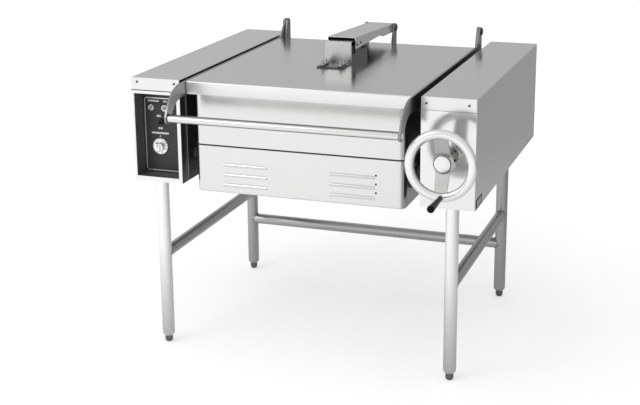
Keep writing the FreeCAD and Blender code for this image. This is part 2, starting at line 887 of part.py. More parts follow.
def trunnion_bearing():
    """Square flange bearing on the console side of the right inner wall."""
    x0 = inner_face + cover_sheet
    half = bearing_square / 2
    plate = rounded_block(x0, x0 + bearing_plate, tilt_y - half, tilt_y + half, tilt_z - half, tilt_z + half,
                          bearing_corner, along_x)
    boss = rod_x(bearing_boss_radius, x0, x0 + bearing_length, tilt_y, tilt_z)
    bore = rod_x(trunnion_radius + running_clearance, x0, x0 + bearing_length, tilt_y, tilt_z)
    return plate.fuse(boss).cut(bore)


# Worm drive

def involute_tooth(half_width_angle):
    """Right flank of a tooth as (radius, angle) pairs from root to tip."""
    alpha = math.radians(pressure_angle)
    base_radius = pitch_radius * math.cos(alpha)
    pitch_involute = math.tan(alpha) - alpha
    root_radius = pitch_radius - 1.25 * gear_module
    tip_radius = pitch_radius + gear_module
    flank = [(root_radius, half_width_angle + pitch_involute)]
    for radius in (base_radius + 0.2, pitch_radius, tip_radius):
        local = math.acos(base_radius / radius)
        flank.append((radius, half_width_angle + pitch_involute - (math.tan(local) - local)))
    return flank


def gear_wire(x, turn):
    """Tooth outline at one face of the wheel; a tooth space points straight up when turn is 0."""
    tooth_angle = 2 * math.pi / wheel_teeth
    half = tooth_angle / 4 - mesh_backlash / (4 * pitch_radius)
    flank = involute_tooth(half)
    corners = []
    for tooth in range(wheel_teeth):
        centre = (tooth + 0.5) * tooth_angle + turn
        pairs = [(r, centre - a) for r, a in flank] + [(r, centre + a) for r, a in reversed(flank)]
        corners += [Vector(x, tilt_y - r * math.sin(a), tilt_z + r * math.cos(a)) for r, a in pairs]
    return Part.makePolygon(corners + [corners[0]])


def worm_wheel():
    """Helical-toothed wheel with hub and pierced web, keyed on the right trunnion."""
    half = wheel_face / 2
    skew = half * lead_slope / pitch_radius
    blank = Part.makeLoft([gear_wire(wheel_x - half, -skew), gear_wire(wheel_x + half, skew)], True, True)
    web_outer = pitch_radius - 4 * gear_module
    for x0, x1 in ((wheel_x - half, wheel_x - wheel_web / 2), (wheel_x + wheel_web / 2, wheel_x + half)):
        blank = blank.cut(rod_x(web_outer, x0, x1, tilt_y, tilt_z))
    hub_half = wheel_hub_length / 2
    wheel = blank.fuse(rod_x(wheel_hub_radius, wheel_x - hub_half, wheel_x + hub_half, tilt_y, tilt_z))
    hole_circle = (wheel_hub_radius + web_outer) / 2
    cuts = [rod_x(trunnion_radius, wheel_x - hub_half, wheel_x + hub_half, tilt_y, tilt_z)]
    for index in range(wheel_web_holes):
        y, z = polar(tilt_y, tilt_z, hole_circle, 360 * index / wheel_web_holes)
        cuts.append(rod_x(wheel_web_hole_radius, wheel_x - half, wheel_x + half, y, z))
    return wheel.cut(join(cuts))


def worm():
    """Single-start right-hand worm with a thread crest in the wheel's upper tooth space."""
    root = worm_pitch_radius - 1.2 * gear_module
    tip = worm_pitch_radius + gear_module
    slope = math.tan(math.radians(pressure_angle))
    thickness = worm_pitch / 2 - mesh_backlash / 2
    foot_half = thickness / 2 + (worm_pitch_radius - root) * slope
    tip_half = thickness / 2 - gear_module * slope
    half = worm_length / 2
    reach = worm_pitch * math.ceil(half / worm_pitch)
    helix = Part.makeHelix(worm_pitch, 2 * reach, root)
    sunk = root - 0.4
    corners = [Vector(sunk, 0, -foot_half), Vector(tip, 0, -tip_half), Vector(tip, 0, tip_half),
               Vector(sunk, 0, foot_half)]
    profile = Part.makePolygon(corners + [corners[0]])
    thread = Part.Wire(helix.Edges).makePipeShell([profile], True, True)
    start = Vector(0, 0, reach - half)
    core = Part.makeCylinder(root, worm_length, start)
    limit = Part.makeCylinder(tip + spare, worm_length, start)
    for round_piece in (core, limit):
        round_piece.rotate(Vector(0, 0, 0), along_z, seam_turn)
    body = core.fuse(thread.common(limit)).cut(Part.makeCylinder(shaft_radius, worm_length, start))
    body.translate(Vector(0, 0, -reach))
    body.rotate(Vector(0, 0, 0), along_x, -90)
    body.rotate(Vector(0, 0, 0), along_y, 90)
    body.translate(Vector(wheel_x, tilt_y, worm_z))
    return body


def lug_places():
    half = worm_length / 2 + lug_gap
    return (tilt_y - half - lug_thickness, tilt_y + half)


def worm_bracket():
    """Bracket on the right inner wall whose two lugs carry the worm shaft."""
    wall = inner_face + cover_sheet
    front, rear = lug_places()
    plate = block(wall, wall + bracket_plate, front - bracket_margin, rear + lug_thickness + bracket_margin,
                  worm_z - bracket_half_height, worm_z + bracket_half_height)
    pieces = [plate]
    for y in (front, rear):
        pieces.append(block(wall + bracket_plate, wheel_x, y, y + lug_thickness, worm_z - lug_radius,
                            worm_z + lug_radius))
        pieces.append(rod_y(lug_radius, y, y + lug_thickness, wheel_x, worm_z))
    bore = rod_y(shaft_radius + running_clearance, front, rear + lug_thickness, wheel_x, worm_z)
    return join(pieces).cut(bore)


def worm_shaft():
    front, rear = lug_places()
    return rod_y(shaft_radius, hub_front_y, rear + lug_thickness + shaft_overrun, wheel_x, worm_z)


def shaft_collar():
    """Flanged bush in the console front that guides the handwheel shaft."""
    flange = rod_y(collar_radius, -collar_thickness, 0, wheel_x, worm_z)
    neck = rod_y(collar_neck_radius, -collar_thickness, collar_neck_length, wheel_x, worm_z)
    ring = rod_y(shaft_radius + running_clearance, -collar_thickness, collar_neck_length, wheel_x, worm_z)
    return flange.fuse(neck).cut(ring)


def handwheel():
    """Dished handwheel: oval rim, two tapered spokes and a hub with a raised cap."""
    centre = Vector(wheel_x, 0, worm_z)
    rim_mid = wheel_radius - rim_radial / 2
    oval = Part.Ellipse(Vector(0, 0, 0), rim_radial / 2, rim_axial / 2).toShape()
    section = Part.Face(Part.Wire([oval]))
    section.translate(Vector(wheel_x + rim_mid, rim_plane_y, worm_z))
    rim = section.revolve(centre, along_y, 360)
    back = hub_front_y + hub_length
    bevel = hub_chamfer
    hub = turned([(0, back), (hub_radius - bevel, back), (hub_radius, back - bevel),
                  (hub_radius, hub_front_y + bevel), (hub_radius - bevel, hub_front_y),
                  (hub_cap_radius, hub_front_y), (hub_cap_radius - bevel, hub_front_y - hub_cap_height),
                  (0, hub_front_y - hub_cap_height)], centre, along_y)
    pieces = [rim, hub]
    for side in (-1, 1):
        root_z = worm_z + side * (hub_radius - spoke_sink)
        tip_z = worm_z + side * (wheel_radius - rim_radial + spoke_sink)
        sections = []
        for z, width, y in ((root_z, spoke_root_width, hub_front_y + spoke_root_drop),
                            (tip_z, spoke_tip_width, rim_plane_y - spoke_tip_rise)):
            left = wheel_x - width / 2
            right = wheel_x + width / 2
            back_y = y + spoke_thickness
            near = [Vector(left, y, z), Vector(right, y, z)]
            far = [Vector(right, back_y, z), Vector(left, back_y, z)]
            sections.append(Part.makePolygon(near + far + near[:1]))
        pieces.append(Part.makeLoft(sections, True, True))
    wheel = join(pieces)
    bore = rod_y(shaft_radius, hub_front_y, back + spare, wheel_x, worm_z)
    pin_seat = rod_y(crank_pin_radius, rim_plane_y - rim_axial, pin_seat_y, crank_x, crank_z)
    return wheel.cut(bore.fuse(pin_seat))


def crank_pin():
    """Pin in the rim with a shoulder in front of it; the grip turns on it."""
    pin = rod_y(crank_pin_radius, grip_tip_y + grip_crown, pin_seat_y, crank_x, crank_z)
    shoulder = rod_y(crank_shoulder_radius, grip_root_y + grip_gap, rim_plane_y, crank_x, crank_z)
    rim_mid = wheel_radius - rim_radial / 2
    oval = Part.Ellipse(Vector(0, 0, 0), rim_radial / 2, rim_axial / 2).toShape()
    section = Part.Face(Part.Wire([oval]))
    section.translate(Vector(wheel_x + rim_mid, rim_plane_y, worm_z))
    rim = section.revolve(Vector(wheel_x, 0, worm_z), along_y, 360)
    return pin.fuse(shoulder.cut(rim))


def crank_grip():
    """Grip that widens to a rounded end, with a blind bore that runs on the crank pin."""
    grip = turned([(0, 0), (grip_root_radius, 0), (grip_tip_radius, grip_length), (0, grip_length)],
                  Vector(crank_x, grip_root_y, crank_z), -along_y)
    for y, radius in ((grip_tip_y, grip_tip_round), (grip_root_y, grip_root_round)):
        grip = grip.makeFillet(radius, [e for e in grip.Edges if abs(e.CenterOfMass.y - y) < 0.01])
    bore = rod_y(crank_pin_radius + running_clearance, grip_tip_y + grip_crown - spare, grip_root_y,
                 crank_x, crank_z)
    return grip.cut(bore)


# Lid

def lid_panel():
    """Flat lid with folded front and side flanges that overlap the pan rim."""
    low = top_height - lid_flange
    outer = block(-lid_half_width, lid_half_width, lid_front, lid_rear, low, top_height)
    top_edges = [e for e in outer.Edges if e.CenterOfMass.z > top_height - spare]
    folds = [e for e in top_edges if e.CenterOfMass.y < lid_rear - spare]
    corners = [e for e in edges_along(outer, along_z) if e.CenterOfMass.y < lid_front + spare]
    outer = outer.makeFillet(lid_fold_radius, folds + corners)
    s = lid_sheet
    hollow = block(-lid_half_width + s, lid_half_width - s, lid_front + s, lid_rear + spare,
                   low - spare, top_height - s)
    return outer.cut(hollow)


def lid_ribs():
    """Cross ribs and a spine folded as shallow channels under the lid sheet."""
    top = top_height - lid_sheet
    step = (rib_last_y - rib_first_y) / (rib_count - 1)
    outer = []
    inner = []
    half = rib_width / 2
    for index in range(rib_count):
        y = rib_first_y + index * step
        outer.append(block(-rib_reach, rib_reach, y - half, y + half, top - rib_depth, top))
        inner.append(block(-rib_reach + rib_sheet, rib_reach - rib_sheet, y - half + rib_sheet,
                           y + half - rib_sheet, top - rib_depth + rib_sheet, top))
    outer.append(block(-half, half, rib_first_y, rib_last_y, top - rib_depth, top))
    inner.append(block(-half + rib_sheet, half - rib_sheet, rib_first_y, rib_last_y,
                       top - rib_depth + rib_sheet, top))
    return join(outer).cut(join(inner))


def lid_arm():
    """Flat-bar arm on the right edge of the lid: bar eye in front, hinge upright behind."""
    low = top_height - arm_depth
    y, z = arm_bend_y, arm_bend_z
    angle = arm_bend_angle
    eye_outer = polar(y, z, arm_bend_radius, angle)
    eye_inner = polar(y, z, bar_circle - bar_eye_radius, angle)
    eye_low = (bar_y + bar_eye_radius * math.cos(math.radians(angle)) * -1,
               bar_z - bar_eye_radius * math.sin(math.radians(angle)))
    inner_start = arm_bend_radius - arm_depth
    inner_middle = polar(y, z, (inner_start + bar_circle - bar_eye_radius) / 2 - arm_hollow, angle / 2)
    tip_front = polar(pivot_y, pivot_z, pivot_end_radius, pivot_front_angle)
    rear = pivot_y + pivot_end_radius
    tip_top = polar(pivot_y, pivot_z, pivot_end_radius, pivot_crest_angle)
    steps = [(arm_rise_y, top_height), tip_front, (tip_top, (rear, pivot_z)), (rear, low), (y, low),
             (inner_middle, eye_inner), (eye_low, eye_outer),
             (polar(y, z, arm_bend_radius, angle / 2), (y, top_height))]
    arm = side_plate(lid_half_width, lid_half_width + arm_thickness, (y, top_height), steps)
    hole = hinge_pin_radius + running_clearance
    return arm.cut(rod_x(hole, lid_half_width, lid_half_width + arm_thickness, pivot_y, pivot_z))


def handle_bar():
    return rod_x(bar_radius, -lid_half_width, lid_half_width, bar_y, bar_z)


def pivot_plate(x0, x1):
    """Plate on the pan's rear wall that rises to a rounded end at the lid's pivot line."""
    rear = pivot_y + pivot_end_radius
    crest_front = polar(pivot_y, pivot_z, pivot_end_radius, pivot_front_angle)
    crest = polar(pivot_y, pivot_z, pivot_end_radius, pivot_crest_angle)
    return side_plate(x0, x1, (pan_rear, hinge_bracket_low),
                      [(pan_rear, hinge_bracket_shoulder), crest_front, (crest, (rear, pivot_z)),
                       (rear, hinge_bracket_shoulder), (pan_rear, hinge_bracket_low)])


def hinge_bracket():
    """Angle bracket on the pan's rear right corner with the fixed hinge pin."""
    x0 = hinge_bracket_x
    x1 = x0 + bracket_sheet
    y0 = pan_rear
    plate = pivot_plate(x0, x1)
    foot_plate = block(x0 - hinge_bracket_foot, x1, y0, y0 + bracket_sheet, hinge_bracket_low,
                       hinge_bracket_shoulder)
    boss = rod_x(hinge_boss_radius, x1, lid_half_width - hinge_gap, pivot_y, pivot_z)
    head_x = lid_half_width + arm_thickness + hinge_gap
    pin = rod_x(hinge_pin_radius, x0, head_x + hinge_head, pivot_y, pivot_z)
    head = rod_x(hinge_head_radius, head_x, head_x + hinge_head, pivot_y, pivot_z)
    return join([plate, foot_plate, boss, pin, head])


def balance_clevis():
    """Clevis on the pan's rear wall with the pivot pin of the balance channel."""
    x0 = channel_half_width + clevis_gap
    x1 = x0 + clevis_plate
    y0 = pan_rear
    plate = pivot_plate(x0, x1)
    back = block(-x1, x1, y0, y0 + bracket_sheet, hinge_bracket_low, hinge_bracket_shoulder)
    head_x = x1 + hinge_head
    pin = rod_x(hinge_pin_radius, -head_x, head_x, pivot_y, pivot_z)
    heads = [rod_x(hinge_head_radius, x, x + hinge_head, pivot_y, pivot_z) for x in (x1, -head_x)]
    return join([plate, mirrored(plate), back, pin] + heads)


def channel_roof(y):
    """Height of the underside of the channel's sloping web."""
    slope = (channel_top_rear - channel_top_front) / (pivot_y + pivot_end_radius - channel_front_y)
    return channel_top_front - balance_sheet + slope * (y - channel_front_y)


def balance_channel():
    """Inverted channel that carries the lid's middle to the pivot pin."""
    rear = pivot_y + pivot_end_radius
    half = channel_half_width
    pivot_low = (pivot_y, pivot_z - pivot_end_radius)
    pivot_corner = polar(pivot_y, pivot_z, pivot_end_radius, channel_end_angle)
    steps = [(channel_front_y, channel_top_front), (rear, channel_top_rear), (rear, pivot_z),
             (pivot_corner, pivot_low), (channel_taper_end, channel_low_rear),
             (channel_taper_start, channel_low_front), (channel_front_y, channel_low_front)]
    outer = side_plate(-half, half, (channel_front_y, channel_low_front), steps)
    s = balance_sheet
    start = (channel_front_y - spare, pivot_z - pivot_end_radius - spare)
    hollow_rear = rear + spare
    hollow_steps = [(start[0], channel_roof(start[0])), (hollow_rear, channel_roof(hollow_rear)),
                    (hollow_rear, start[1]), start]
    hollow = side_plate(-half + s, half - s, start, hollow_steps)
    hole = rod_x(hinge_pin_radius + running_clearance, -half, half, pivot_y, pivot_z)
    return outer.cut(hollow).cut(hole)


def balance_bracket():
    """Bracket bolted on the lid: studded base, front face and two walls with a tab inside the channel."""
    s = balance_sheet
    half = channel_half_width - s
    floor_z = top_height + bracket_base
    base = block(-half, half, bracket_base_front, bracket_wall_end, top_height, floor_z)
    face = block(-half, half, bracket_front_y, bracket_front_y + s, floor_z, bracket_face_top)
    pieces = [base, face]
    reach = bracket_front_y + s
    tab_front = channel_front_y + tab_inset
    tab_rear = tab_front + tab_run
    for side in (-1, 1):
        x0 = side * half - (s if side > 0 else 0)
        pieces.append(side_plate(x0, x0 + s, (reach, floor_z),
                                 [(reach, bracket_wall_top), (tab_front, bracket_wall_top),
                                  (tab_front, bracket_face_top - s), (tab_rear, bracket_face_top - s),
                                  (tab_rear, bracket_wall_top), (bracket_wall_end, bracket_wall_top),
                                  (bracket_wall_end, floor_z), (reach, floor_z)]))
        for row in range(2):
            x = side * stud_x
            y = stud_first_y + row * stud_pitch
            pieces.append(rod_z(stud_radius, floor_z, floor_z + stud_height, x, y))
            pieces.append(rod_z(stud_nut_radius, floor_z, floor_z + stud_nut_height, x, y))
    return join(pieces)


def balance_spring():
    """Spring cartridge and rod inside the channel, hung from the channel's top web."""
    body = rod_y(spring_radius, spring_front_y, spring_rear_y, 0, spring_z)
    rod = rod_y(spring_rod_radius, channel_front_y + rod_front_run, pivot_y - rod_rear_run, 0, spring_z)
    half = hanger_width / 2
    hangers = []
    for y0 in (spring_front_y + hanger_inset, spring_rear_y - hanger_inset - hanger_sheet):
        y1 = y0 + hanger_sheet
        steps = [(y0, channel_roof(y0)), (y1, channel_roof(y1)), (y1, spring_z), (y0, spring_z)]
        hangers.append(side_plate(-half, half, (y0, spring_z), steps))
    return join([body, rod] + hangers)


# Stand and consoles
for side, x in (("left", -leg_x), ("right", leg_x)):
    for end, y in (("front", leg_front_y), ("rear", leg_rear_y)):
        save(f"leg_{end}_{side}", leg(x, y))
        save(f"foot_{end}_{side}", foot(x, y))
    save(f"side_rail_{side}", side_rail(x))
save("rear_rail", rear_rail())
save("base_tray_right", base_tray())
save("base_tray_left", mirrored(base_tray()))
save("cross_channel", cross_channel())
save("console_cover_right", console_cover())
save("console_cover_left", mirrored(console_cover()))
save("inner_wall_right", inner_wall())
save("inner_wall_left", mirrored(inner_wall()))
save("drive_front_panel", drive_front_panel())
save("control_front_frame", control_front_frame())

# Controls
save("recess_box", recess_box())
save("control_plate", control_plate())
save("control_trim", control_trim())
save("thermostat_knob", thermostat_knob())
save("thermostat_body", thermostat_body())
save("power_switch", power_switch())
save("power_switch_lever", power_switch_lever())
save("pilot_lamp_power", pilot_lamp(lamp_left_x))
save("pilot_lamp_heat", pilot_lamp(lamp_right_x))
save("contactor", contactor())

# Pan with its trunnions
save("pan_shell", pan_shell())
save("pan_jacket", pan_jacket())
save("heater_box", heater_box())
save("heating_elements", heating_elements())
save("thermostat_bulb", thermostat_bulb())
save("trunnion_right", trunnion(wheel_x + wheel_hub_length / 2 + right_trunnion_overrun))
save("trunnion_left", mirrored(trunnion(inner_face + cover_sheet + bearing_length + left_trunnion_overrun)))
save("bearing_right", trunnion_bearing())
save("bearing_left", mirrored(trunnion_bearing()))

# Tilt drive
save("worm_wheel", worm_wheel())
save("worm", worm())
save("worm_bracket", worm_bracket())
save("worm_shaft", worm_shaft())
save("shaft_collar", shaft_collar())
save("handwheel", handwheel())
save("crank_pin", crank_pin())
save("crank_grip", crank_grip())

# Lid with its hinge and balance
save("lid_panel", lid_panel())
save("lid_ribs", lid_ribs())
save("lid_arm_right", lid_arm())
save("lid_arm_left", mirrored(lid_arm()))
save("handle_bar", handle_bar())
save("hinge_bracket_right", hinge_bracket())
save("hinge_bracket_left", mirrored(hinge_bracket()))
save("balance_clevis", balance_clevis())
save("balance_channel", balance_channel())
save("balance_bracket", balance_bracket())
save("balance_spring", balance_spring())
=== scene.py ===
import bmesh
import bpy
import math
import mathutils
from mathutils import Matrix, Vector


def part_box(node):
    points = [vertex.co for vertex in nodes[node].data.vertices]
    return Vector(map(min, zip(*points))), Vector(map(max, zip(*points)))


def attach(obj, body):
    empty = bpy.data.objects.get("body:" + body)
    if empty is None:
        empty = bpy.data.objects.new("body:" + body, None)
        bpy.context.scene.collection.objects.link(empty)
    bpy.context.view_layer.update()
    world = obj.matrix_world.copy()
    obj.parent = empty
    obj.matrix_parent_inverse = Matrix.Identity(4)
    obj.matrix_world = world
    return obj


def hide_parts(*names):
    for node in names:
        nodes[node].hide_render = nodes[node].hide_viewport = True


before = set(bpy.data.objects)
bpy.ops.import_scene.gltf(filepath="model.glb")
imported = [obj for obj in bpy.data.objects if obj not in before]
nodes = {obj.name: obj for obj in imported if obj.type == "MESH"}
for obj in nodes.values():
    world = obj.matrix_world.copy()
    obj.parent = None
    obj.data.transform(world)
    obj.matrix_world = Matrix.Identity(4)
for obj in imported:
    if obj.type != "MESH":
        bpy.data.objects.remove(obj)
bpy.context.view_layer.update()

# Studio: a pale floor that runs out of the picture under even soft light. The side towards the
# camera and the left is the brighter one, as with a large window there, and the far right is dimmer.
bpy.ops.object.select_all(action="DESELECT")
bpy.context.scene.view_settings.view_transform = "Standard"

camera = bpy.data.cameras.new("camera")
camera.lens = 72.36
camera.sensor_width = 36.0
camera.shift_y = -0.0688
camera_object = bpy.data.objects.new("camera", camera)
camera_object.location = (1.3408, -3.9567, 1.7384)
heading = mathutils.Matrix.Rotation(0.3417, 3, "Z")
looking_down = mathutils.Matrix.Rotation(math.pi / 2 - 0.2659, 3, "X")
level = mathutils.Matrix.Rotation(-0.0089, 3, "Z")
camera_object.rotation_euler = (heading @ looking_down @ level).to_euler()
bpy.context.scene.collection.objects.link(camera_object)
bpy.context.scene.camera = camera_object

toward_window = mathutils.Vector((-0.62, -0.74, 0.25))
dim_side, window_side = 0.39, 0.87
white = (1, 1, 1, 1)


def feed(tree, socket, value):
    """Joins a socket to another one, or sets a plain value on it."""
    if isinstance(value, bpy.types.NodeSocket):
        tree.links.new(value, socket)
    else:
        socket.default_value = value


def calculate(tree, operation, *terms):
    """Result of a math node whose terms are sockets or plain numbers."""
    node = tree.nodes.new("ShaderNodeMath")
    node.operation = operation
    for socket, term in zip(node.inputs, terms):
        feed(tree, socket, term)
    return node.outputs[0]


def vector_math(tree, operation, first, second=(0, 0, 0)):
    """Result of a vector math node: a number for a dot product or a length, else a vector."""
    node = tree.nodes.new("ShaderNodeVectorMath")
    node.operation = operation
    feed(tree, node.inputs[0], first)
    feed(tree, node.inputs[1], second)
    return node.outputs["Value" if operation in ("DOT_PRODUCT", "LENGTH") else "Vector"]


def ramp(tree, value, start, end, low=0.0, high=1.0, course="LINEAR"):
    """Socket that goes from low to high while the value goes from start to end."""
    node = tree.nodes.new("ShaderNodeMapRange")
    node.interpolation_type = course
    for socket, setting in (("Value", value), ("From Min", start), ("From Max", end),
                            ("To Min", low), ("To Max", high)):
        feed(tree, node.inputs[socket], setting)
    return node.outputs["Result"]


def mixed(tree, share, first, second, kind="RGBA"):
    """Socket that goes from the first to the second colour or number as the share rises."""
    node = tree.nodes.new("ShaderNodeMix")
    node.data_type = kind
    for socket, setting in (("Factor", share), ("A", first), ("B", second)):
        feed(tree, node.inputs[socket], setting)
    return node.outputs["Result"]


def own_place(tree):
    """Place on the object, in metres of the frame."""
    return tree.nodes.new("ShaderNodeTexCoord").outputs["Object"]


world = bpy.data.worlds.new("soft_surround")
bpy.context.scene.world = world
world.use_nodes = True
tree = world.node_tree
rays = tree.nodes.new("ShaderNodeLightPath")
direction = tree.nodes.new("ShaderNodeTexCoord")
facing = vector_math(tree, "DOT_PRODUCT", direction.outputs["Generated"], toward_window)
daylight = ramp(tree, facing, -0.9, 0.9, dim_side, window_side, "SMOOTHSTEP")
seen = calculate(tree, "MAXIMUM", rays.outputs["Is Camera Ray"], rays.outputs["Is Transmission Ray"])
white_in_metal = 0.12
mirrored = calculate(tree, "MULTIPLY_ADD", rays.outputs["Is Glossy Ray"], white_in_metal, seen)
feed(tree, tree.nodes["Background"].inputs["Color"], mixed(tree, mirrored, daylight, white))

# The floor lifts itself to an even white for the camera and glows a little in the metal.
bpy.ops.mesh.primitive_plane_add(size=60.0, location=(0, 0, 0))
floor = bpy.context.active_object
floor.name = "floor"
floor_paint = bpy.data.materials.new("floor_paint")
floor_paint.use_nodes = True
tree = floor_paint.node_tree
matt = tree.nodes["Principled BSDF"]
matt.inputs["Roughness"].default_value = 0.9
matt.inputs["Specular IOR Level"].default_value = 0.1
far_paint, near_paint = (0.50, 0.50, 0.50, 1), (0.84, 0.84, 0.84, 1)
far_lift, near_lift, glow_in_metal = 0.72, 0.44, 0.46
rays = tree.nodes.new("ShaderNodeLightPath")
reach = vector_math(tree, "DOT_PRODUCT", own_place(tree), (toward_window.x, toward_window.y, 0))
nearness = ramp(tree, reach, -2.9, -0.4, course="SMOOTHSTEP")
feed(tree, matt.inputs["Base Color"], mixed(tree, nearness, far_paint, near_paint))
level_out = ramp(tree, nearness, 0.0, 1.0, far_lift, near_lift)
glow = ramp(tree, reach, -1.6, 2.4, 0.0, glow_in_metal, "SMOOTHSTEP")
in_metal = calculate(tree, "MULTIPLY", rays.outputs["Is Glossy Ray"], glow)
seen = calculate(tree, "MAXIMUM", rays.outputs["Is Camera Ray"], rays.outputs["Is Transmission Ray"])
lift = tree.nodes.new("ShaderNodeEmission")
lift.inputs["Color"].default_value = white
feed(tree, lift.inputs["Strength"], calculate(tree, "MULTIPLY_ADD", seen, level_out, in_metal))
both = tree.nodes.new("ShaderNodeAddShader")
tree.links.new(matt.outputs["BSDF"], both.inputs[0])
tree.links.new(lift.outputs["Emission"], both.inputs[1])
tree.links.new(both.outputs["Shader"], tree.nodes["Material Output"].inputs["Surface"])
floor.data.materials.append(floor_paint)

window = bpy.data.lights.new("window", "AREA")
window.shape = "RECTANGLE"
window.size = 3.0
window.size_y = 2.2
window.energy = 50
window_object = bpy.data.objects.new("window", window)
bpy.context.scene.collection.objects.link(window_object)
window_object.location = (-3.2, -4.2, 3.6)
aim = mathutils.Vector((0, 0, 0.6)) - window_object.location
window_object.rotation_euler = aim.to_track_quat("-Z", "Y").to_euler()
window_object.visible_camera = False


def finish_group(name, **inputs):
    """New node group with these inputs, whose outputs are a colour, a roughness and a height."""
    group = bpy.data.node_groups.new(name, "ShaderNodeTree")
    for socket, kind in inputs.items():
        group.interface.new_socket(name=socket, in_out="INPUT", socket_type="NodeSocket" + kind)
    for socket, kind in (("Color", "Color"), ("Roughness", "Float"), ("Height", "Float")):
        group.interface.new_socket(name=socket, in_out="OUTPUT", socket_type="NodeSocket" + kind)
    return group


def noise(tree, place, scale, detail, roughness=0.5):
    """Cloudy pattern over the place, from 0 to 1."""
    node = tree.nodes.new("ShaderNodeTexNoise")
    for socket, setting in (("Vector", place), ("Scale", scale), ("Detail", detail),
                            ("Roughness", roughness)):
        feed(tree, node.inputs[socket], setting)
    return node.outputs["Fac"]


def close_group(group, colour, roughness, height):
    """Gives a group its output node and joins its three results to it."""
    out = group.nodes.new("NodeGroupOutput")
    for socket, value in (("Color", colour), ("Roughness", roughness), ("Height", height)):
        group.links.new(value, out.inputs[socket])


brushed = finish_group("brushed", Vector="Vector", Stretch="Vector", Light="Color", Dark="Color",
                       Smooth="Float", Rough="Float")
given = brushed.nodes.new("NodeGroupInput")
lines = vector_math(brushed, "MULTIPLY", given.outputs["Vector"], given.outputs["Stretch"])
grain = noise(brushed, lines, 1.0, 4.0, 0.65)
cloud = noise(brushed, given.outputs["Vector"], 5.0, 3.0)
blend = mixed(brushed, 0.45, grain, cloud, "FLOAT")
close_group(brushed, mixed(brushed, blend, given.outputs["Light"], given.outputs["Dark"]),
            ramp(brushed, blend, 0.25, 0.75, given.outputs["Smooth"], given.outputs["Rough"]), grain)


def effect_of(tree, group, settings):
    """Outputs of one of the shared groups inside a material."""
    effect = tree.nodes.new("ShaderNodeGroup")
    effect.node_tree = group
    feed(tree, effect.inputs["Vector"], own_place(tree))
    for socket, value in settings.items():
        effect.inputs[socket].default_value = value
    return effect.outputs


def finish_from(name, group, settings, bump, metallic):
    """Material whose colour, roughness and bump come from one of the shared groups."""
    material = bpy.data.materials.new(name)
    material.use_nodes = True
    tree = material.node_tree
    shader = tree.nodes["Principled BSDF"]
    shader.inputs["Metallic"].default_value = metallic
    effect = effect_of(tree, group, settings)
    relief = tree.nodes.new("ShaderNodeBump")
    relief.inputs["Strength"].default_value = bump
    relief.inputs["Distance"].default_value = 0.0002
    for value, socket in ((effect["Color"], shader.inputs["Base Color"]),
                          (effect["Roughness"], shader.inputs["Roughness"]),
                          (effect["Height"], relief.inputs["Height"]),
                          (relief.outputs["Normal"], shader.inputs["Normal"])):
        tree.links.new(value, socket)
    return material


def steel(name, stretch, light, dark, smooth, rough, bump=0.15):
    """Metal with a drawn or brushed grain; the stretch is small along the grain."""
    settings = {"Stretch": stretch, "Light": (*light, 1), "Dark": (*dark, 1), "Smooth": smooth,
                "Rough": rough}
    return finish_from(name, brushed, settings, bump, 1.0)


def dress(material, *names):
    """Gives every slot of the named CAD nodes a material."""
    for name in names:
        for place in nodes[name].material_slots:
            place.material = material


left_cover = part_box("console_cover_left")
right_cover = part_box("console_cover_right")
middle_x = (left_cover[0][0] + right_cover[1][0]) / 2
console_front = left_cover[0][1]


def at(x, y, z):
    """Point given in millimetres from the pan's middle, the console fronts and the floor."""
    return mathutils.Vector((middle_x + x / 1000, console_front + y / 1000, z / 1000))


def ramp_along(material, axis, start, end):
    """Socket that runs from 0 to 1 between two planes across an axis, in millimetres as for at."""
    tree = material.node_tree
    axes = tree.nodes.new("ShaderNodeSeparateXYZ")
    tree.links.new(own_place(tree), axes.inputs[0])
    first, last = (at(plane, plane, plane)["XYZ".index(axis)] for plane in (start, end))
    return ramp(tree, axes.outputs[axis], first, last)


def overlay(material, share, value, name="Base Color"):
    """Leads an input of a material's shader over to another value where the share rises."""
    tree = material.node_tree
    socket = tree.nodes["Principled BSDF"].inputs[name]
    kind = "RGBA" if name == "Base Color" else "FLOAT"
    tree.links.new(mixed(tree, share, socket.links[0].from_socket, value, kind), socket)


def tint(material, share, tone):
    """Brings the colour of a material to another grey where the share rises."""
    overlay(material, share, (tone, tone, tone, 1))


# The legs and rails are all one stainless tube. The front legs take a light copy, painted light, that
# turns darker towards the floor as painted shade.
upright_tube = steel("upright_tube", (900, 900, 12), (0.95, 0.95, 0.945), (0.90, 0.90, 0.895), 0.24, 0.34)
tint(upright_tube, ramp_along(upright_tube, "Z", 360, 40), 0.56)
dress(upright_tube, "leg_front_left", "leg_front_right")
# The rear legs and the rails take darker copies of the same tube, painted shade under and behind the
# machine.
shaded_tube = steel("shaded_tube", (900, 900, 12), (0.47, 0.47, 0.465), (0.40, 0.40, 0.395), 0.26, 0.36)
dress(shaded_tube, "leg_rear_left", "leg_rear_right")
long_tube = steel("long_tube", (900, 12, 900), (0.46, 0.46, 0.455), (0.39, 0.39, 0.385), 0.26, 0.36)
dress(long_tube, "side_rail_left", "side_rail_right")
cross_tube = steel("cross_tube", (12, 900, 900), (0.53, 0.53, 0.525), (0.46, 0.46, 0.455), 0.26, 0.36)
dress(cross_tube, "rear_rail")

# Weld beads: where a rail meets a leg a narrow collar of weld runs round the joint, brushed off
# and a little darker than the tubes.
leg_radius, rail_radius, bead = 20.65, 19.0, 2.2
leg_x, front_leg_y, rear_leg_y = 487, 40, 798
side_rail_z, rear_rail_z = 315, 204


def rod(radius, start, length, corners=32):
    """Cylinder along Y, its place already in its mesh."""
    middle = (0, (start + length / 2) / 1000, 0)
    bpy.ops.mesh.primitive_cylinder_add(vertices=corners, radius=radius / 1000, depth=length / 1000,
                                        location=middle, rotation=(math.pi / 2, 0, 0))
    bpy.ops.object.transform_apply()
    return bpy.context.active_object


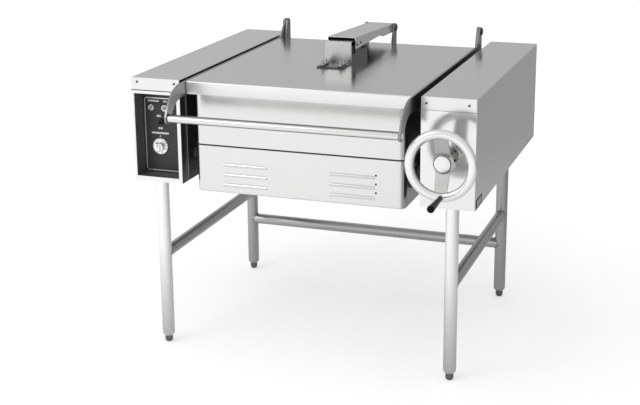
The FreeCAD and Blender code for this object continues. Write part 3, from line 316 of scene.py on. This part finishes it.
def finish(piece, smooth=40):
    """Applies the modifiers, merges doubles, turns the faces outward and smooths the round ones."""
    bpy.ops.object.select_all(action="DESELECT")
    piece.select_set(True)
    bpy.context.view_layer.objects.active = piece
    for modifier in list(piece.modifiers):
        bpy.ops.object.modifier_apply(modifier=modifier.name)
    bpy.ops.object.transform_apply()
    bpy.ops.object.mode_set(mode="EDIT")
    bpy.ops.mesh.select_all(action="SELECT")
    bpy.ops.mesh.remove_doubles(threshold=0.00001)
    bpy.ops.mesh.normals_make_consistent(inside=False)
    bpy.ops.object.mode_set(mode="OBJECT")
    bpy.ops.object.shade_smooth_by_angle(angle=math.radians(smooth))
    return piece


def chamfer(piece, width, segments=2, limit=50):
    """Eases the edges that bend more than the limit, by a width in millimetres."""
    edge = piece.modifiers.new("edge", "BEVEL")
    edge.width = width / 1000
    edge.segments = segments
    edge.limit_method = "ANGLE"
    edge.angle_limit = math.radians(limit)


def fit(piece, name, places, material, body):
    """Puts a copy of the finished piece, each with its own mesh, into every place and turn."""
    for index, (place, turn) in enumerate(places, 1):
        copy = piece.copy()
        copy.data = piece.data.copy()
        copy.name = name if len(places) == 1 else f"{name}_{index}"
        bpy.context.scene.collection.objects.link(copy)
        copy.data.transform(mathutils.Matrix.Translation(place) @ turn)
        copy.data.materials.clear()
        copy.data.materials.append(material)
        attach(copy, body)
    bpy.data.objects.remove(piece)


def turned(degrees, axis="Z"):
    """Turn round an axis of the frame."""
    return mathutils.Matrix.Rotation(math.radians(degrees), 4, axis)


def spot(x, y, z, degrees=0, axis="Z"):
    """Place in millimetres with the turn of the piece that sits there."""
    return (at(x, y, z), turned(degrees, axis))


sleeve = rod(rail_radius + bead, 0, 40, 40)
bpy.ops.mesh.primitive_cylinder_add(vertices=40, radius=(leg_radius + bead) / 1000, depth=0.07)
round_leg = bpy.context.active_object
cut = sleeve.modifiers.new("cut", "BOOLEAN")
cut.operation = "INTERSECT"
cut.object = round_leg
chamfer(sleeve, 0.9, 3, 30)
finish(sleeve)
bpy.data.objects.remove(round_leg)
weld_metal = steel("weld_metal", (500, 500, 500), (0.42, 0.42, 0.41), (0.26, 0.26, 0.25), 0.3, 0.5, 0.5)
joints = [spot(side * leg_x, y, side_rail_z, turn)
          for side in (-1, 1) for y, turn in ((front_leg_y, 0), (rear_leg_y, 180))]
joints += [spot(side * leg_x, rear_leg_y, rear_rail_z, side * 90) for side in (-1, 1)]
fit(sleeve, "rail_weld", joints, weld_metal, "stand")

# Feet: dark zinc-plated bullet feet with their screws in the leg ends. The plating is slightly
# mottled and dull.
foot_metal = steel("foot_metal", (300, 300, 300), (0.20, 0.20, 0.20), (0.13, 0.13, 0.13), 0.32, 0.48)
dress(foot_metal, "foot_front_left", "foot_front_right", "foot_rear_left", "foot_rear_right")

# Trays and cross channel: thicker sheet with a dull pickled finish that closes the consoles from
# below and ties them together at the rear. Its colour is darkened, painted shade under the consoles.
plain_bracket = steel("plain_bracket", (120, 120, 120), (0.30, 0.30, 0.295), (0.22, 0.22, 0.215),
                      0.34, 0.5)
dress(plain_bracket, "base_tray_left", "base_tray_right", "cross_channel")

# Consoles: each is a folded cover with a front strip, a front sheet below it and a side wall
# towards the pan. The sheets are stainless with a fine grain; the walls are near black, painted shade in
# the narrow gap.
cover_sheet = steel("cover_sheet", (700, 10, 700), (0.79, 0.79, 0.785), (0.73, 0.73, 0.725),
                    0.13, 0.20, 0.04)
dress(cover_sheet, "console_cover_left", "console_cover_right")
front_sheet = steel("front_sheet", (10, 700, 700), (0.82, 0.82, 0.815), (0.76, 0.76, 0.755),
                    0.12, 0.18, 0.04)
dress(front_sheet, "drive_front_panel", "control_front_frame")

speckled = finish_group("speckled", Vector="Vector", Grain="Float", Light="Color", Dark="Color",
                        Smooth="Float", Rough="Float")
given = speckled.nodes.new("NodeGroupInput")
cells = speckled.nodes.new("ShaderNodeTexVoronoi")
cells.feature = "SMOOTH_F1"
speckled.links.new(given.outputs["Vector"], cells.inputs["Vector"])
speckled.links.new(given.outputs["Grain"], cells.inputs["Scale"])
patches = noise(speckled, given.outputs["Vector"], 30.0, 4.0)
close_group(speckled, mixed(speckled, patches, given.outputs["Light"], given.outputs["Dark"]),
            ramp(speckled, patches, 0.3, 0.7, given.outputs["Smooth"], given.outputs["Rough"]),
            cells.outputs["Distance"])


def coated(name, grain, light, dark, smooth, rough, bump=0.2, metallic=0.0):
    """Paint, plastic, rubber or casting with a fine mottled surface."""
    settings = {"Grain": grain, "Light": (*light, 1), "Dark": (*dark, 1), "Smooth": smooth, "Rough": rough}
    return finish_from(name, speckled, settings, bump, metallic)


# Near black as painted shade in the narrow gap between console and pan.
wall_paint = coated("wall_paint", 900, (0.034, 0.034, 0.034), (0.022, 0.022, 0.022), 0.3, 0.45, 0.1)
dress(wall_paint, "inner_wall_left", "inner_wall_right")

# Cover screws: dark steel screws with a low round head and a sunk drive hold the folded front
# strips and the rear faces of the covers.


def pick(piece, wanted, parts="faces"):
    """Selects in edit mode the faces or edges that pass the test on their middle, in millimetres."""
    bpy.ops.mesh.select_mode(type="FACE" if parts == "faces" else "EDGE")
    bpy.ops.mesh.select_all(action="DESELECT")
    form = bmesh.from_edit_mesh(piece.data)
    for part in getattr(form, parts):
        corners = [corner.co * 1000 for corner in part.verts]
        middle = sum(corners, mathutils.Vector()) / len(corners)
        part.select_set(wanted(middle, part))
    form.select_flush_mode()
    bmesh.update_edit_mesh(piece.data)


def step_front(piece, *steps):
    """Sets the front face in again and again, each time by a width and a rise in millimetres."""
    bpy.ops.object.mode_set(mode="EDIT")
    pick(piece, lambda middle, part: part.normal.y < -0.9)
    for width, rise in steps:
        bpy.ops.mesh.inset(thickness=width / 1000, depth=rise / 1000)
    bpy.ops.object.mode_set(mode="OBJECT")


screw = rod(3.8, -1.6, 1.6, 20)
step_front(screw, (1.0, 0.4), (1.0, 0.1), (0.4, -0.9))
chamfer(screw, 0.3)
finish(screw)
screw_steel = steel("screw_steel", (400, 400, 400), (0.16, 0.16, 0.16), (0.08, 0.08, 0.08), 0.3, 0.45)
front_places = [(-543, 900), (-413, 900), (411, 894), (541, 894)]
rear_places = [(side * x, z) for side in (-1, 1) for x in (409, 551) for z in (602, 886)]
console_depth = 965
screw_places = [spot(x, 0, z) for x, z in front_places]
screw_places += [spot(x, console_depth, z, 180) for x, z in rear_places]
fit(screw, "cover_screw", screw_places, screw_steel, "stand")

# Strip seal and wall edges: a dark rubber seal fills the joint under the left front strip. A bright
# trim is clipped on each side wall where its front flange ends, and a black cheek sheet, painted
# shade, closes the way from there to the front of the console.


def bar_block(x, y, z, ease):
    """Block between pairs of limits in millimetres, its edges eased before it is scaled down."""
    low, high = at(x[0], y[0], z[0]), at(x[1], y[1], z[1])
    bpy.ops.mesh.primitive_cube_add(size=1, location=(low + high) / 2, scale=high - low)
    chamfer(bpy.context.active_object, ease)
    return finish(bpy.context.active_object)


still = [(mathutils.Vector(), turned(0))]
rubber = coated("rubber", 500, (0.022, 0.022, 0.022), (0.014, 0.014, 0.014), 0.5, 0.65, 0.2)
seal_strip = bar_block((-564.6, -395.2), (-0.4, 1.0), (871.8, 874.8), 0.3)
fit(seal_strip, "strip_seal", still, rubber, "stand")
edge_bright = steel("edge_bright", (300, 300, 10), (0.66, 0.66, 0.66), (0.56, 0.56, 0.56), 0.35, 0.45)
for side, name in ((-1, "left"), (1, "right")):
    trim = bar_block(sorted((side * 393.3, side * 395.4)), (43.4, 45.4), (574, 872), 0.4)
    fit(trim, "wall_edge_" + name, still, edge_bright, "stand")
    # The cheek is a black sheet laid over the front flange's return, painted shade there.
    cheek = bar_block(sorted((side * 394.6, side * 395.3)), (0.4, 43.4), (572.4, 871.6), 0.2)
    fit(cheek, "wall_cheek_" + name, still, wall_paint, "stand")

# Rating plate: a blank etched aluminium field on a dark backing, riveted low on the outer side of
# the right console.


def block(middle, size):
    """Block with its size in millimetres, its place already in its mesh."""
    bpy.ops.mesh.primitive_cube_add(size=0.001, location=middle, scale=size)
    bpy.ops.object.transform_apply()
    return bpy.context.active_object


def round_edges(piece, wanted, radius, segments):
    """Rounds the edges that pass the test, by a radius in millimetres."""
    bpy.ops.object.mode_set(mode="EDIT")
    pick(piece, wanted, "edges")
    bpy.ops.mesh.bevel(offset=radius / 1000, segments=segments, affect="EDGES")
    bpy.ops.object.mode_set(mode="OBJECT")


def plate(width, height, thickness, corner, border):
    """Thin plate that faces the front, with rounded corners and a slightly sunk field."""
    sheet = block((0, -thickness / 2000, 0), (width, thickness, height))
    round_edges(sheet, lambda middle, part: abs(middle.x) > width * 0.49 and abs(middle.z) > height * 0.49,
                corner, 5)
    step_front(sheet, (border, 0), (border / 4, -thickness / 4))
    return finish(sheet, 25)


rating_y, rating_z = 51, 590
backing_place = [spot(565, rating_y, rating_z, 90)]
fit(plate(82, 29, 0.6, 3, 1), "rating_backing", backing_place, rubber, "stand")
plate_metal = steel("plate_metal", (500, 14, 500), (0.62, 0.62, 0.62), (0.5, 0.5, 0.5), 0.3, 0.42, 0.1)
rating_place = [spot(565.5, rating_y, rating_z, 90)]
fit(plate(64, 20, 0.5, 2, 1.5), "rating_plate", rating_place, plate_metal, "stand")
bpy.ops.mesh.primitive_uv_sphere_add(segments=16, ring_count=8, radius=0.0018)
rivet = bpy.context.active_object
bpy.ops.object.mode_set(mode="EDIT")
bpy.ops.mesh.select_all(action="SELECT")
bpy.ops.mesh.bisect(plane_co=(0, 0, 0), plane_no=(0, 1, 0), clear_outer=True, use_fill=True)
bpy.ops.object.mode_set(mode="OBJECT")
finish(rivet)
rivet_places = [spot(565.5, rating_y + y, rating_z, 90) for y in (-36.5, 36.5)]
fit(rivet, "plate_rivet", rivet_places, screw_steel, "stand")

# Control recess: a black powder-coated box and plate with fine orange-peel texture, framed by a
# thin polished trim. The box is a lighter black than the plate, a painted sheen on its walls.
recess_paint = coated("recess_paint", 700, (0.105, 0.105, 0.105), (0.075, 0.075, 0.075), 0.35, 0.5, 0.15)
dress(recess_paint, "recess_box")
plate_paint = coated("plate_paint", 420, (0.052, 0.052, 0.052), (0.034, 0.034, 0.034), 0.42, 0.55, 0.5)
dress(plate_paint, "control_plate")
trim_chrome = steel("trim_chrome", (50, 50, 50), (0.93, 0.93, 0.93), (0.88, 0.88, 0.88), 0.42, 0.52)
dress(trim_chrome, "control_trim")
part_plastic = coated("part_plastic", 600, (0.03, 0.03, 0.03), (0.02, 0.02, 0.02), 0.35, 0.5, 0.1)
dress(part_plastic, "thermostat_body", "contactor")

# Label strips: bare strips of white laminate above the lamps, over and under the switch and over
# the dial, glued to the control plate. They carry no words, only the switch has a plain 1 and 0.
plate_y = 60
label_white = coated("label_white", 300, (0.92, 0.92, 0.91), (0.84, 0.84, 0.83), 0.4, 0.55, 0.05)
for name, width, x, z in (("label_left", 40, -517.6, 826.5), ("label_right", 15, -476.4, 826.5),
                          ("label_dial", 61, -497.5, 720)):
    fit(plate(width, 6.0, 0.6, 1.2, 0.6), name, [spot(x, plate_y, z)], label_white, "stand")


def words(text, size, rise):
    """Raised figures, already a mesh, that stand upright, centred, and face the front."""
    bpy.ops.object.text_add(rotation=(math.pi / 2, 0, 0))
    figure = bpy.context.active_object
    figure.data.body = text
    figure.data.size = size / 1000
    figure.data.extrude = rise / 1000
    figure.data.align_x = "CENTER"
    figure.data.align_y = "CENTER"
    figure.data.resolution_u = 3
    bpy.ops.object.convert(target="MESH")
    return finish(bpy.context.active_object, 25)


dark_ink = coated("dark_ink", 300, (0.03, 0.03, 0.03), (0.02, 0.02, 0.02), 0.45, 0.6, 0.05)
for name, figure, x, z in (("on", "1", -501, 777), ("off", "0", -496, 736.5)):
    label = plate(15, 6.4, 0.6, 1.2, 0.6)
    fit(label, "switch_label_" + name, [spot(x, plate_y, z)], label_white, "stand")
    raised = words(figure, 6, 0.2)
    fit(raised, "switch_figure_" + name, [spot(x, plate_y - 0.5, z)], dark_ink, "stand")

# Toggle switch: blackened bat lever in a threaded bush, fixed from the front with a hex nut on a
# thin washer.
chrome = steel("chrome", (50, 50, 50), (0.8, 0.8, 0.8), (0.72, 0.72, 0.72), 0.08, 0.16)
switch_black = coated("switch_black", 300, (0.03, 0.03, 0.032), (0.02, 0.02, 0.022), 0.25, 0.4, 0.1, 0.3)
dress(switch_black, "power_switch_lever", "power_switch")


def hex_head(across, height, hole=0.0):
    """Hexagon that faces the front, with a turned crown and, for a nut, a sunk bore."""
    corner, crown = across / math.sqrt(3), 0.6
    piece = rod(corner, -height, height, 6)
    bpy.ops.mesh.primitive_cone_add(vertices=36, radius1=(corner + 1.5) / 1000, radius2=across / 2400,
                                    depth=height / 500, location=(0, height * (crown - 1) / 1000, 0),
                                    rotation=(math.pi / 2, 0, 0))
    cone = bpy.context.active_object
    turn = piece.modifiers.new("turn", "BOOLEAN")
    turn.operation = "INTERSECT"
    turn.object = cone
    if hole:
        bore = rod(hole, -height - 1, 1.8, 24)
        drill = piece.modifiers.new("drill", "BOOLEAN")
        drill.operation = "DIFFERENCE"
        drill.object = bore
    chamfer(piece, 0.25, 2, 25)
    finish(piece, 30)
    bpy.data.objects.remove(cone)
    if hole:
        bpy.data.objects.remove(bore)
    return piece


def washer(outer, inner, thickness):
    """Flat ring that faces the front, its edges eased."""
    ring = rod(outer, -thickness, thickness, 36)
    step_front(ring, (outer - inner, 0), (0.1, -thickness * 0.6))
    chamfer(ring, min(0.3, thickness / 4))
    return finish(ring)


switch_x, switch_z = -492, 758
washer_place, nut_place = [spot(switch_x, plate_y, switch_z)], [spot(switch_x, plate_y, switch_z, 12, "Y")]
fit(washer(11.4, 10.2, 0.7), "switch_washer", washer_place, switch_black, "stand")
fit(hex_head(19.6, 3.7, 6.1), "switch_nut", nut_place, switch_black, "stand")

# Pilot lamps: domed lenses of pale plastic in chromed bezels. Each is pushed through the control
# plate from the front.
lens = coated("lens", 250, (0.62, 0.60, 0.55), (0.42, 0.41, 0.38), 0.08, 0.16, 0.6)
lens.node_tree.nodes["Principled BSDF"].inputs["Coat Weight"].default_value = 0.6
dress(lens, "pilot_lamp_power", "pilot_lamp_heat")
lamp_places = [spot(x, plate_y, 804) for x in (-528, -479)]
fit(washer(10.4, 7.0, 3.0), "lamp_bezel", lamp_places, chrome, "stand")

# Thermostat dial: turned aluminium knob whose skirt carries a scale of fine ticks with the figures
# 0 to 300, read against a small white mark on the plate.
dial = steel("dial", (300, 300, 300), (0.88, 0.88, 0.88), (0.78, 0.78, 0.78), 0.25, 0.35)
dress(dial, "thermostat_knob")
dial_x, dial_y, dial_z = -498, 56.4, 676


def round_dial(radius, degrees):
    """Place on the dial's skirt, counted to the left from the top, and the turn that goes with it."""
    angle = math.radians(degrees)
    place = at(dial_x - radius * math.sin(angle), dial_y, dial_z + radius * math.cos(angle))
    return (place, turned(-degrees, "Y"))


for index, figure in enumerate(("0", "50", "100", "150", "200", "250", "300")):
    fit(words(figure, 4.6, 0.12), "dial_figure_" + figure, [round_dial(21.8, index * 50)], dark_ink,
        "thermostat_knob")
ticks = [round_dial(25.6, degrees) for degrees in range(0, 301, 25)]
fit(plate(0.7, 1.8, 0.2, 0.2, 0.15), "dial_tick", ticks, dark_ink, "thermostat_knob")
pointer_place, mark_place = [spot(dial_x, 34.4, dial_z + 7)], [spot(dial_x, plate_y, 709.5, 45, "Y")]
fit(plate(1.6, 12, 0.3, 0.6, 0.3), "dial_pointer", pointer_place, dark_ink, "thermostat_knob")
fit(plate(4.4, 4.4, 0.4, 1.6, 0.5), "dial_mark", mark_place, label_white, "stand")

# Pan: jacket and heater casing of satin stainless sheet round a thick vessel that is dulled by
# cooking. Under its floor lie sheathed heating rods and the thermostat's bulb.
satin = ((10, 700, 700), (0.76, 0.76, 0.755), (0.70, 0.70, 0.695), 0.20, 0.28, 0.05)
pan_sheet = steel("pan_sheet", *satin)
dress(pan_sheet, "pan_jacket")
casing_sheet = steel("casing_sheet", *satin)
# The casing is darker at both rounded side edges and on the pressed louvre bulges: painted shade.
tint(casing_sheet, ramp_along(casing_sheet, "X", 331, 338), 0.40)
tint(casing_sheet, ramp_along(casing_sheet, "X", -341, -346), 0.30)
tint(casing_sheet, ramp_along(casing_sheet, "Y", 3.5, 2.0), 0.64)
dress(casing_sheet, "heater_box")
vessel_steel = steel("vessel_steel", (40, 40, 300), (0.55, 0.55, 0.54), (0.45, 0.45, 0.44), 0.25, 0.4)
dress(vessel_steel, "pan_shell")
element_metal = steel("element_metal", (60, 60, 60), (0.16, 0.15, 0.14), (0.09, 0.085, 0.08), 0.4, 0.55)
dress(element_metal, "heating_elements")
machined = steel("machined", (200, 200, 200), (0.62, 0.62, 0.61), (0.5, 0.5, 0.49), 0.2, 0.32)
dress(machined, "thermostat_bulb")

# Pan seal: a flat black seal is clamped between the jacket and the heater casing and shows as a
# thin line all round.
pan_seal = block(at(0, 427, 709), (695.6, 847.6, 4.8))
round_edges(pan_seal, lambda middle, part: abs((part.verts[0].co - part.verts[1].co).z) > 0.001, 22, 8)
fit(finish(pan_seal), "pan_seal", still, rubber, "pan")

# Casing holes: three holes at the end of the right group of louvres, each closed by a pressed-in
# plug of black rubber.
plug = rod(3.3, -0.5, 1.5, 20)
chamfer(plug, 0.3)
plug_places = [spot(254.5, 4, height) for height in (600, 628, 656)]
fit(finish(plug), "casing_plug", plug_places, rubber, "pan")

# Tilt drive: turned trunnions in cast flange bearings, a bronze worm wheel on the right one and a
# steel worm on the handwheel shaft.
dress(machined, "worm_shaft", "worm")
bronze = steel("bronze", (200, 200, 200), (0.62, 0.42, 0.2), (0.5, 0.33, 0.15), 0.25, 0.38)
dress(bronze, "worm_wheel")
cast = coated("cast", 260, (0.11, 0.115, 0.12), (0.07, 0.075, 0.08), 0.5, 0.65, 0.8)
dress(cast, "bearing_left", "bearing_right", "worm_bracket", "trunnion_left", "trunnion_right")

# Shaft collar: turned steel bush with a flange, in which the handwheel shaft runs. Four blackened
# socket screws hold it to the console front.
collar_metal = steel("collar_metal", (200, 200, 200), (0.42, 0.42, 0.41), (0.28, 0.28, 0.275), 0.14, 0.24)
dress(collar_metal, "shaft_collar")
socket_screw = rod(3.6, -3.2, 3.2, 24)
step_front(socket_screw, (1.5, 0), (0.2, -1.8))
chamfer(socket_screw, 0.4)
finish(socket_screw)
blackened = coated("blackened", 500, (0.03, 0.03, 0.032), (0.018, 0.018, 0.02), 0.3, 0.45, 0.15, 0.2)
wheel_x, wheel_z = 490, 742
screw_circle = 19.4
collar_places = []
for degrees in (45, 135, 225, 315):
    angle = math.radians(degrees)
    collar_places.append(spot(wheel_x + screw_circle * math.cos(angle), -8,
                              wheel_z + screw_circle * math.sin(angle)))
fit(socket_screw, "collar_screw", collar_places, blackened, "stand")

# Handwheel: cast aluminium, its rim and hub polished bright and the spokes left as cast. The hub
# bore is closed by a pressed cap with a dark joint round it.
wheel_metal = steel("wheel_metal", (60, 60, 60), (0.86, 0.86, 0.86), (0.8, 0.8, 0.8), 0.14, 0.22)
tree = wheel_metal.node_tree
from_hub = vector_math(tree, "SUBTRACT", own_place(tree), at(wheel_x, 0, wheel_z))
radius = vector_math(tree, "LENGTH", vector_math(tree, "MULTIPLY", from_hub, (1, 0, 1)))
hub_edge, rim_edge = (0.0268, 0.0272), (0.0830, 0.0820)
as_cast = calculate(tree, "MULTIPLY", ramp(tree, radius, *hub_edge), ramp(tree, radius, *rim_edge))
sand = effect_of(tree, speckled, {"Light": (0.62, 0.62, 0.615, 1), "Dark": (0.48, 0.48, 0.475, 1),
                                  "Smooth": 0.4, "Rough": 0.52})
overlay(wheel_metal, as_cast, sand["Color"])
overlay(wheel_metal, as_cast, sand["Roughness"], "Roughness")
dress(wheel_metal, "handwheel")
hub_cap = rod(24.6, -4.4, 4.4, 48)
step_front(hub_cap, (4, 0.9), (6, 0.7), (7, 0.3))
chamfer(hub_cap, 0.5, 3, 40)
cap_polish = steel("cap_polish", (60, 60, 60), (0.88, 0.88, 0.88), (0.83, 0.83, 0.83), 0.3, 0.4)
cap_place, joint_place = [spot(wheel_x, -110, wheel_z)], [spot(wheel_x, -113.5, wheel_z)]
fit(finish(hub_cap), "hub_cap", cap_place, cap_polish, "handwheel")
bpy.ops.mesh.primitive_torus_add(major_segments=48, minor_segments=8, major_radius=0.0256,
                                 minor_radius=0.0012, rotation=(math.pi / 2, 0, 0))
cap_joint = bpy.context.active_object
fit(finish(cap_joint), "hub_cap_joint", joint_place, blackened, "handwheel")

# Crank: a turned steel pin fixed in the rim, with a tapered grip of glossy black phenolic that
# turns freely on it.
dress(machined, "crank_pin")
grip_plastic = coated("grip_plastic", 40, (0.009, 0.009, 0.009), (0.006, 0.006, 0.006), 0.1, 0.18, 0.03)
grip_plastic.node_tree.nodes["Principled BSDF"].inputs["Specular IOR Level"].default_value = 0.08
dress(grip_plastic, "crank_grip")

# Lid: flat stainless sheet with folded flanges, which are a little duller than its top and painted
# lighter, a painted highlight. Channels of the same sheet stiffen it from below.
lid_sheet = steel("lid_sheet", (10, 700, 700), (0.76, 0.76, 0.755), (0.70, 0.70, 0.695), 0.13, 0.20, 0.04)
tree = lid_sheet.node_tree
# The folded flanges are painted lighter, a painted highlight, and rougher.
flange = ramp_along(lid_sheet, "Z", 912.5, 908.5)
roughness = tree.nodes["Principled BSDF"].inputs["Roughness"]
feed(tree, roughness, calculate(tree, "MULTIPLY_ADD", flange, 0.17, roughness.links[0].from_socket))
tint(lid_sheet, flange, 0.87)
dress(lid_sheet, "lid_panel")
dress(pan_sheet, "lid_ribs")

# Lid arms and handle bar: flat bar bent down in front, with a cross-ground finish on its faces, and
# a polished round bar welded between the two eyes.
arm_steel = steel("arm_steel", (60, 40, 60), (0.38, 0.38, 0.375), (0.28, 0.28, 0.275), 0.28, 0.4, 0.4)
dress(arm_steel, "lid_arm_left", "lid_arm_right")
bar_steel = steel("bar_steel", (12, 700, 700), (0.80, 0.80, 0.79), (0.72, 0.72, 0.71), 0.12, 0.2)
# Dark bands along the top and the bottom of the round bar are painted reflection of dark surroundings.
tint(bar_steel, ramp_along(bar_steel, "Z", 831, 834), 0.16)
tint(bar_steel, ramp_along(bar_steel, "Z", 815.4, 814), 0.16)
dress(bar_steel, "handle_bar")
# A near black weld ring round each end of the bar, on the arm's inner face, is painted shade round the
# bar.
bpy.ops.mesh.primitive_torus_add(major_segments=40, minor_segments=10, major_radius=0.0134,
                                 minor_radius=0.0021, rotation=(0, math.pi / 2, 0))
bar_weld = bpy.context.active_object
bar_y, bar_z = -135.7, 822.4
weld_places = [spot(side * 369, bar_y, bar_z) for side in (-1, 1)]
dark_weld = steel("dark_weld", (600, 600, 600), (0.09, 0.09, 0.09), (0.05, 0.05, 0.05), 0.35, 0.5, 0.5)
fit(finish(bar_weld), "bar_weld", weld_places, dark_weld, "lid")
bar_end = rod(11.8, -1.0, 1.0, 36)
step_front(bar_end, (2.2, 0.3), (4.5, 0.2))
chamfer(bar_end, 0.4)
end_places = [spot(side * 375, bar_y, bar_z, side * 90) for side in (-1, 1)]
fit(finish(bar_end), "bar_end", end_places, bar_steel, "lid")

# Hinge line: plates on the pan's rear wall carry three pins on one line. The blackened pins have
# hexagon heads, the middle one at both ends.
# The hinge plates and the clevis take the same sheet, its colour darkened as painted shade.
dress(plain_bracket, "hinge_bracket_left", "hinge_bracket_right", "balance_clevis")
hinge_y, hinge_z = 892, 961
pin_places = [spot(side * x, hinge_y, hinge_z, side * 90) for x in (375.7, 56.4) for side in (-1, 1)]
fit(hex_head(24.8, 5.0), "hinge_pin_head", pin_places, blackened, "pan")

# Lid balance bracket: plate and folded face bolted to the lid, all but the top of the face painted
# near black as painted shade. Four threaded studs with washers and nuts clamp it down.
bracket_sheet = steel("bracket_sheet", (700, 10, 700), (0.66, 0.66, 0.655), (0.58, 0.58, 0.575),
                      0.24, 0.34, 0.05)
tree = bracket_sheet.node_tree
above_plate = ramp_along(bracket_sheet, "Z", 918, 919)
in_front = ramp_along(bracket_sheet, "Y", 406, 405.2)
# Everything but the top of the bracket's face is painted near black as painted shade.
burnt = calculate(tree, "SUBTRACT", 1, calculate(tree, "MULTIPLY", above_plate, in_front))
burnt_steel = effect_of(tree, speckled, {"Light": (0.10, 0.10, 0.10, 1), "Dark": (0.05, 0.05, 0.05, 1)})
overlay(bracket_sheet, burnt, burnt_steel["Color"])
dress(bracket_sheet, "balance_bracket")


def coil(wire, corners, radius, pitch, turns, steps):
    """Wire wound round the Y axis with a Screw modifier, its two ends closed."""
    bpy.ops.mesh.primitive_circle_add(vertices=corners, radius=wire / 1000, rotation=(math.pi / 2, 0, 0),
                                      location=(radius / 1000, 0, 0))
    bpy.ops.object.transform_apply()
    wound = bpy.context.active_object
    sweep = wound.modifiers.new("sweep", "SCREW")
    sweep.screw_offset = pitch / 1000
    sweep.iterations = turns
    sweep.steps = steps
    sweep.render_steps = steps
    bpy.ops.object.modifier_apply(modifier="sweep")
    bpy.ops.object.mode_set(mode="EDIT")
    bpy.ops.mesh.select_all(action="SELECT")
    bpy.ops.mesh.fill_holes(sides=corners)
    bpy.ops.object.mode_set(mode="OBJECT")
    wound.data.transform(turned(-90, "X"))
    return finish(wound, 60)


zinc = steel("zinc", (200, 200, 200), (0.45, 0.45, 0.44), (0.26, 0.26, 0.255), 0.25, 0.4, 0.3)


def on_studs(height, upward=-90):
    """The four studs' places at a height, with the front of a piece turned up, or down with 90."""
    return [spot(side * 31, y, height, upward, "X") for side in (-1, 1) for y in (335, 369)]


plate_top, washer_thickness, thread_start, stud_end = 918, 1.3, 924.5, 935
stud_washer = washer(9.6, 8.8, washer_thickness)
fit(stud_washer, "stud_washer", on_studs(plate_top), blackened, "lid")
nut_places = on_studs(plate_top + washer_thickness)
fit(hex_head(16.6, 5.6, 4.4), "stud_nut", nut_places, zinc, "lid")
thread = coil(0.55, 3, 4.05, 1.25, 8, 16)
fit(thread, "stud_thread", on_studs(thread_start, 90), zinc, "lid")
stud_tip = rod(4.4, -0.6, 0.6, 20)
chamfer(stud_tip, 0.4)
fit(finish(stud_tip), "stud_tip", on_studs(stud_end), zinc, "lid")
# Black blocks along the inner faces of the bracket's walls are painted shade inside the bracket.
for side, name in ((-1, "bracket_liner_left"), (1, "bracket_liner_right")):
    liner = bar_block(sorted((side * 40.4, side * 42.8)), (405.5, 579.5), (918.2, 972), 0.4)
    fit(liner, name, still, blackened, "lid")

# Bracket lip: strip of bright stainless sheet, folded back from the top of the bracket's face and
# tucked under the channel.
lip_sheet = steel("lip_sheet", (700, 10, 700), (0.88, 0.88, 0.875), (0.82, 0.82, 0.815), 0.3, 0.4, 0.05)
lip = bar_block((-42.6, 42.6), (403.6, 447), (985.7, 987.2), 0.3)
fit(lip, "bracket_lip", still, lip_sheet, "lid")

# Channel closer: small sheet of blackened steel across the inside of the channel. It stands in
# front of the spring.
closer = bar_block((-45.7, 45.7), (539, 541), (947, 989.3), 0.4)
fit(closer, "channel_closer", still, blackened, "lid")

# Balance channel: folded stainless channel, screwed to the bracket's tabs inside it. Its inner faces,
# within the width of its web and below the slope of it, are black, painted shade.
channel_sheet = steel("channel_sheet", (700, 10, 700), (0.80, 0.80, 0.795), (0.73, 0.73, 0.725),
                      0.2, 0.28, 0.05)
tree = channel_sheet.node_tree
axes = tree.nodes.new("ShaderNodeSeparateXYZ")
tree.links.new(own_place(tree), axes.inputs[0])
off_middle = calculate(tree, "ABSOLUTE", calculate(tree, "SUBTRACT", axes.outputs["X"], middle_x))
half_inside = 0.0472
between_sides = calculate(tree, "LESS_THAN", off_middle, half_inside)
web_start, web_fall = at(0, 439, 996.5), 24 / 469
fallen = calculate(tree, "MULTIPLY_ADD", axes.outputs["Y"], web_fall, -web_fall * web_start.y)
level = calculate(tree, "ADD", fallen, axes.outputs["Z"])
under_web = calculate(tree, "LESS_THAN", level, web_start.z)
# The dark tone inside the channel is painted shade.
soot = effect_of(tree, speckled, {"Light": (0.03, 0.03, 0.03, 1), "Dark": (0.018, 0.018, 0.018, 1)})
overlay(channel_sheet, calculate(tree, "MULTIPLY", between_sides, under_web), soot["Color"])
dress(channel_sheet, "balance_channel")
side_screw = rod(4.2, -1.8, 1.8, 20)
step_front(side_screw, (1.2, 0.3), (1.0, -0.9))
chamfer(side_screw, 0.3)
side_places = [spot(side * 49, y, 972, side * 90) for side in (-1, 1) for y in (456, 498)]
fit(finish(side_screw), "channel_screw", side_places, blackened, "lid")

# Balance spring: black wire wound round a steel rod, pressed between two cups. A steel block below
# the channel's web carries each cup.
spring_z = 960
spring_black = coated("spring_black", 300, (0.06, 0.06, 0.062), (0.035, 0.035, 0.037),
                      0.3, 0.45, 0.3, 0.5)
spring_coil = coil(1.8, 8, 11.0, 7.5, 31, 16)
fit(spring_coil, "spring_coil", [spot(0, 550, spring_z)], spring_black, "lid")
spring_rod = rod(5, 459, 394, 24)
chamfer(spring_rod, 0.8)
fit(finish(spring_rod), "spring_rod", [spot(0, 0, spring_z)], machined, "lid")
cup_places = [spot(0, 549, spring_z), spot(0, 785, spring_z, 180)]
fit(washer(13, 5.2, 6), "spring_cup", cup_places, spring_black, "lid")
hanger_foot = 3
for name, y, top in (("spring_hanger_front", 567, 990.6), ("spring_hanger_rear", 755, 981.0)):
    height = top - spring_z + hanger_foot
    hanger = block((0, 0.006, (height / 2 - hanger_foot) / 1000), (24, 12, height))
    chamfer(hanger, 0.6)
    fit(finish(hanger), name, [spot(0, y, spring_z)], spring_black, "lid")
for name in ("spring_coil", "spring_rod"):
    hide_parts("balance_spring")
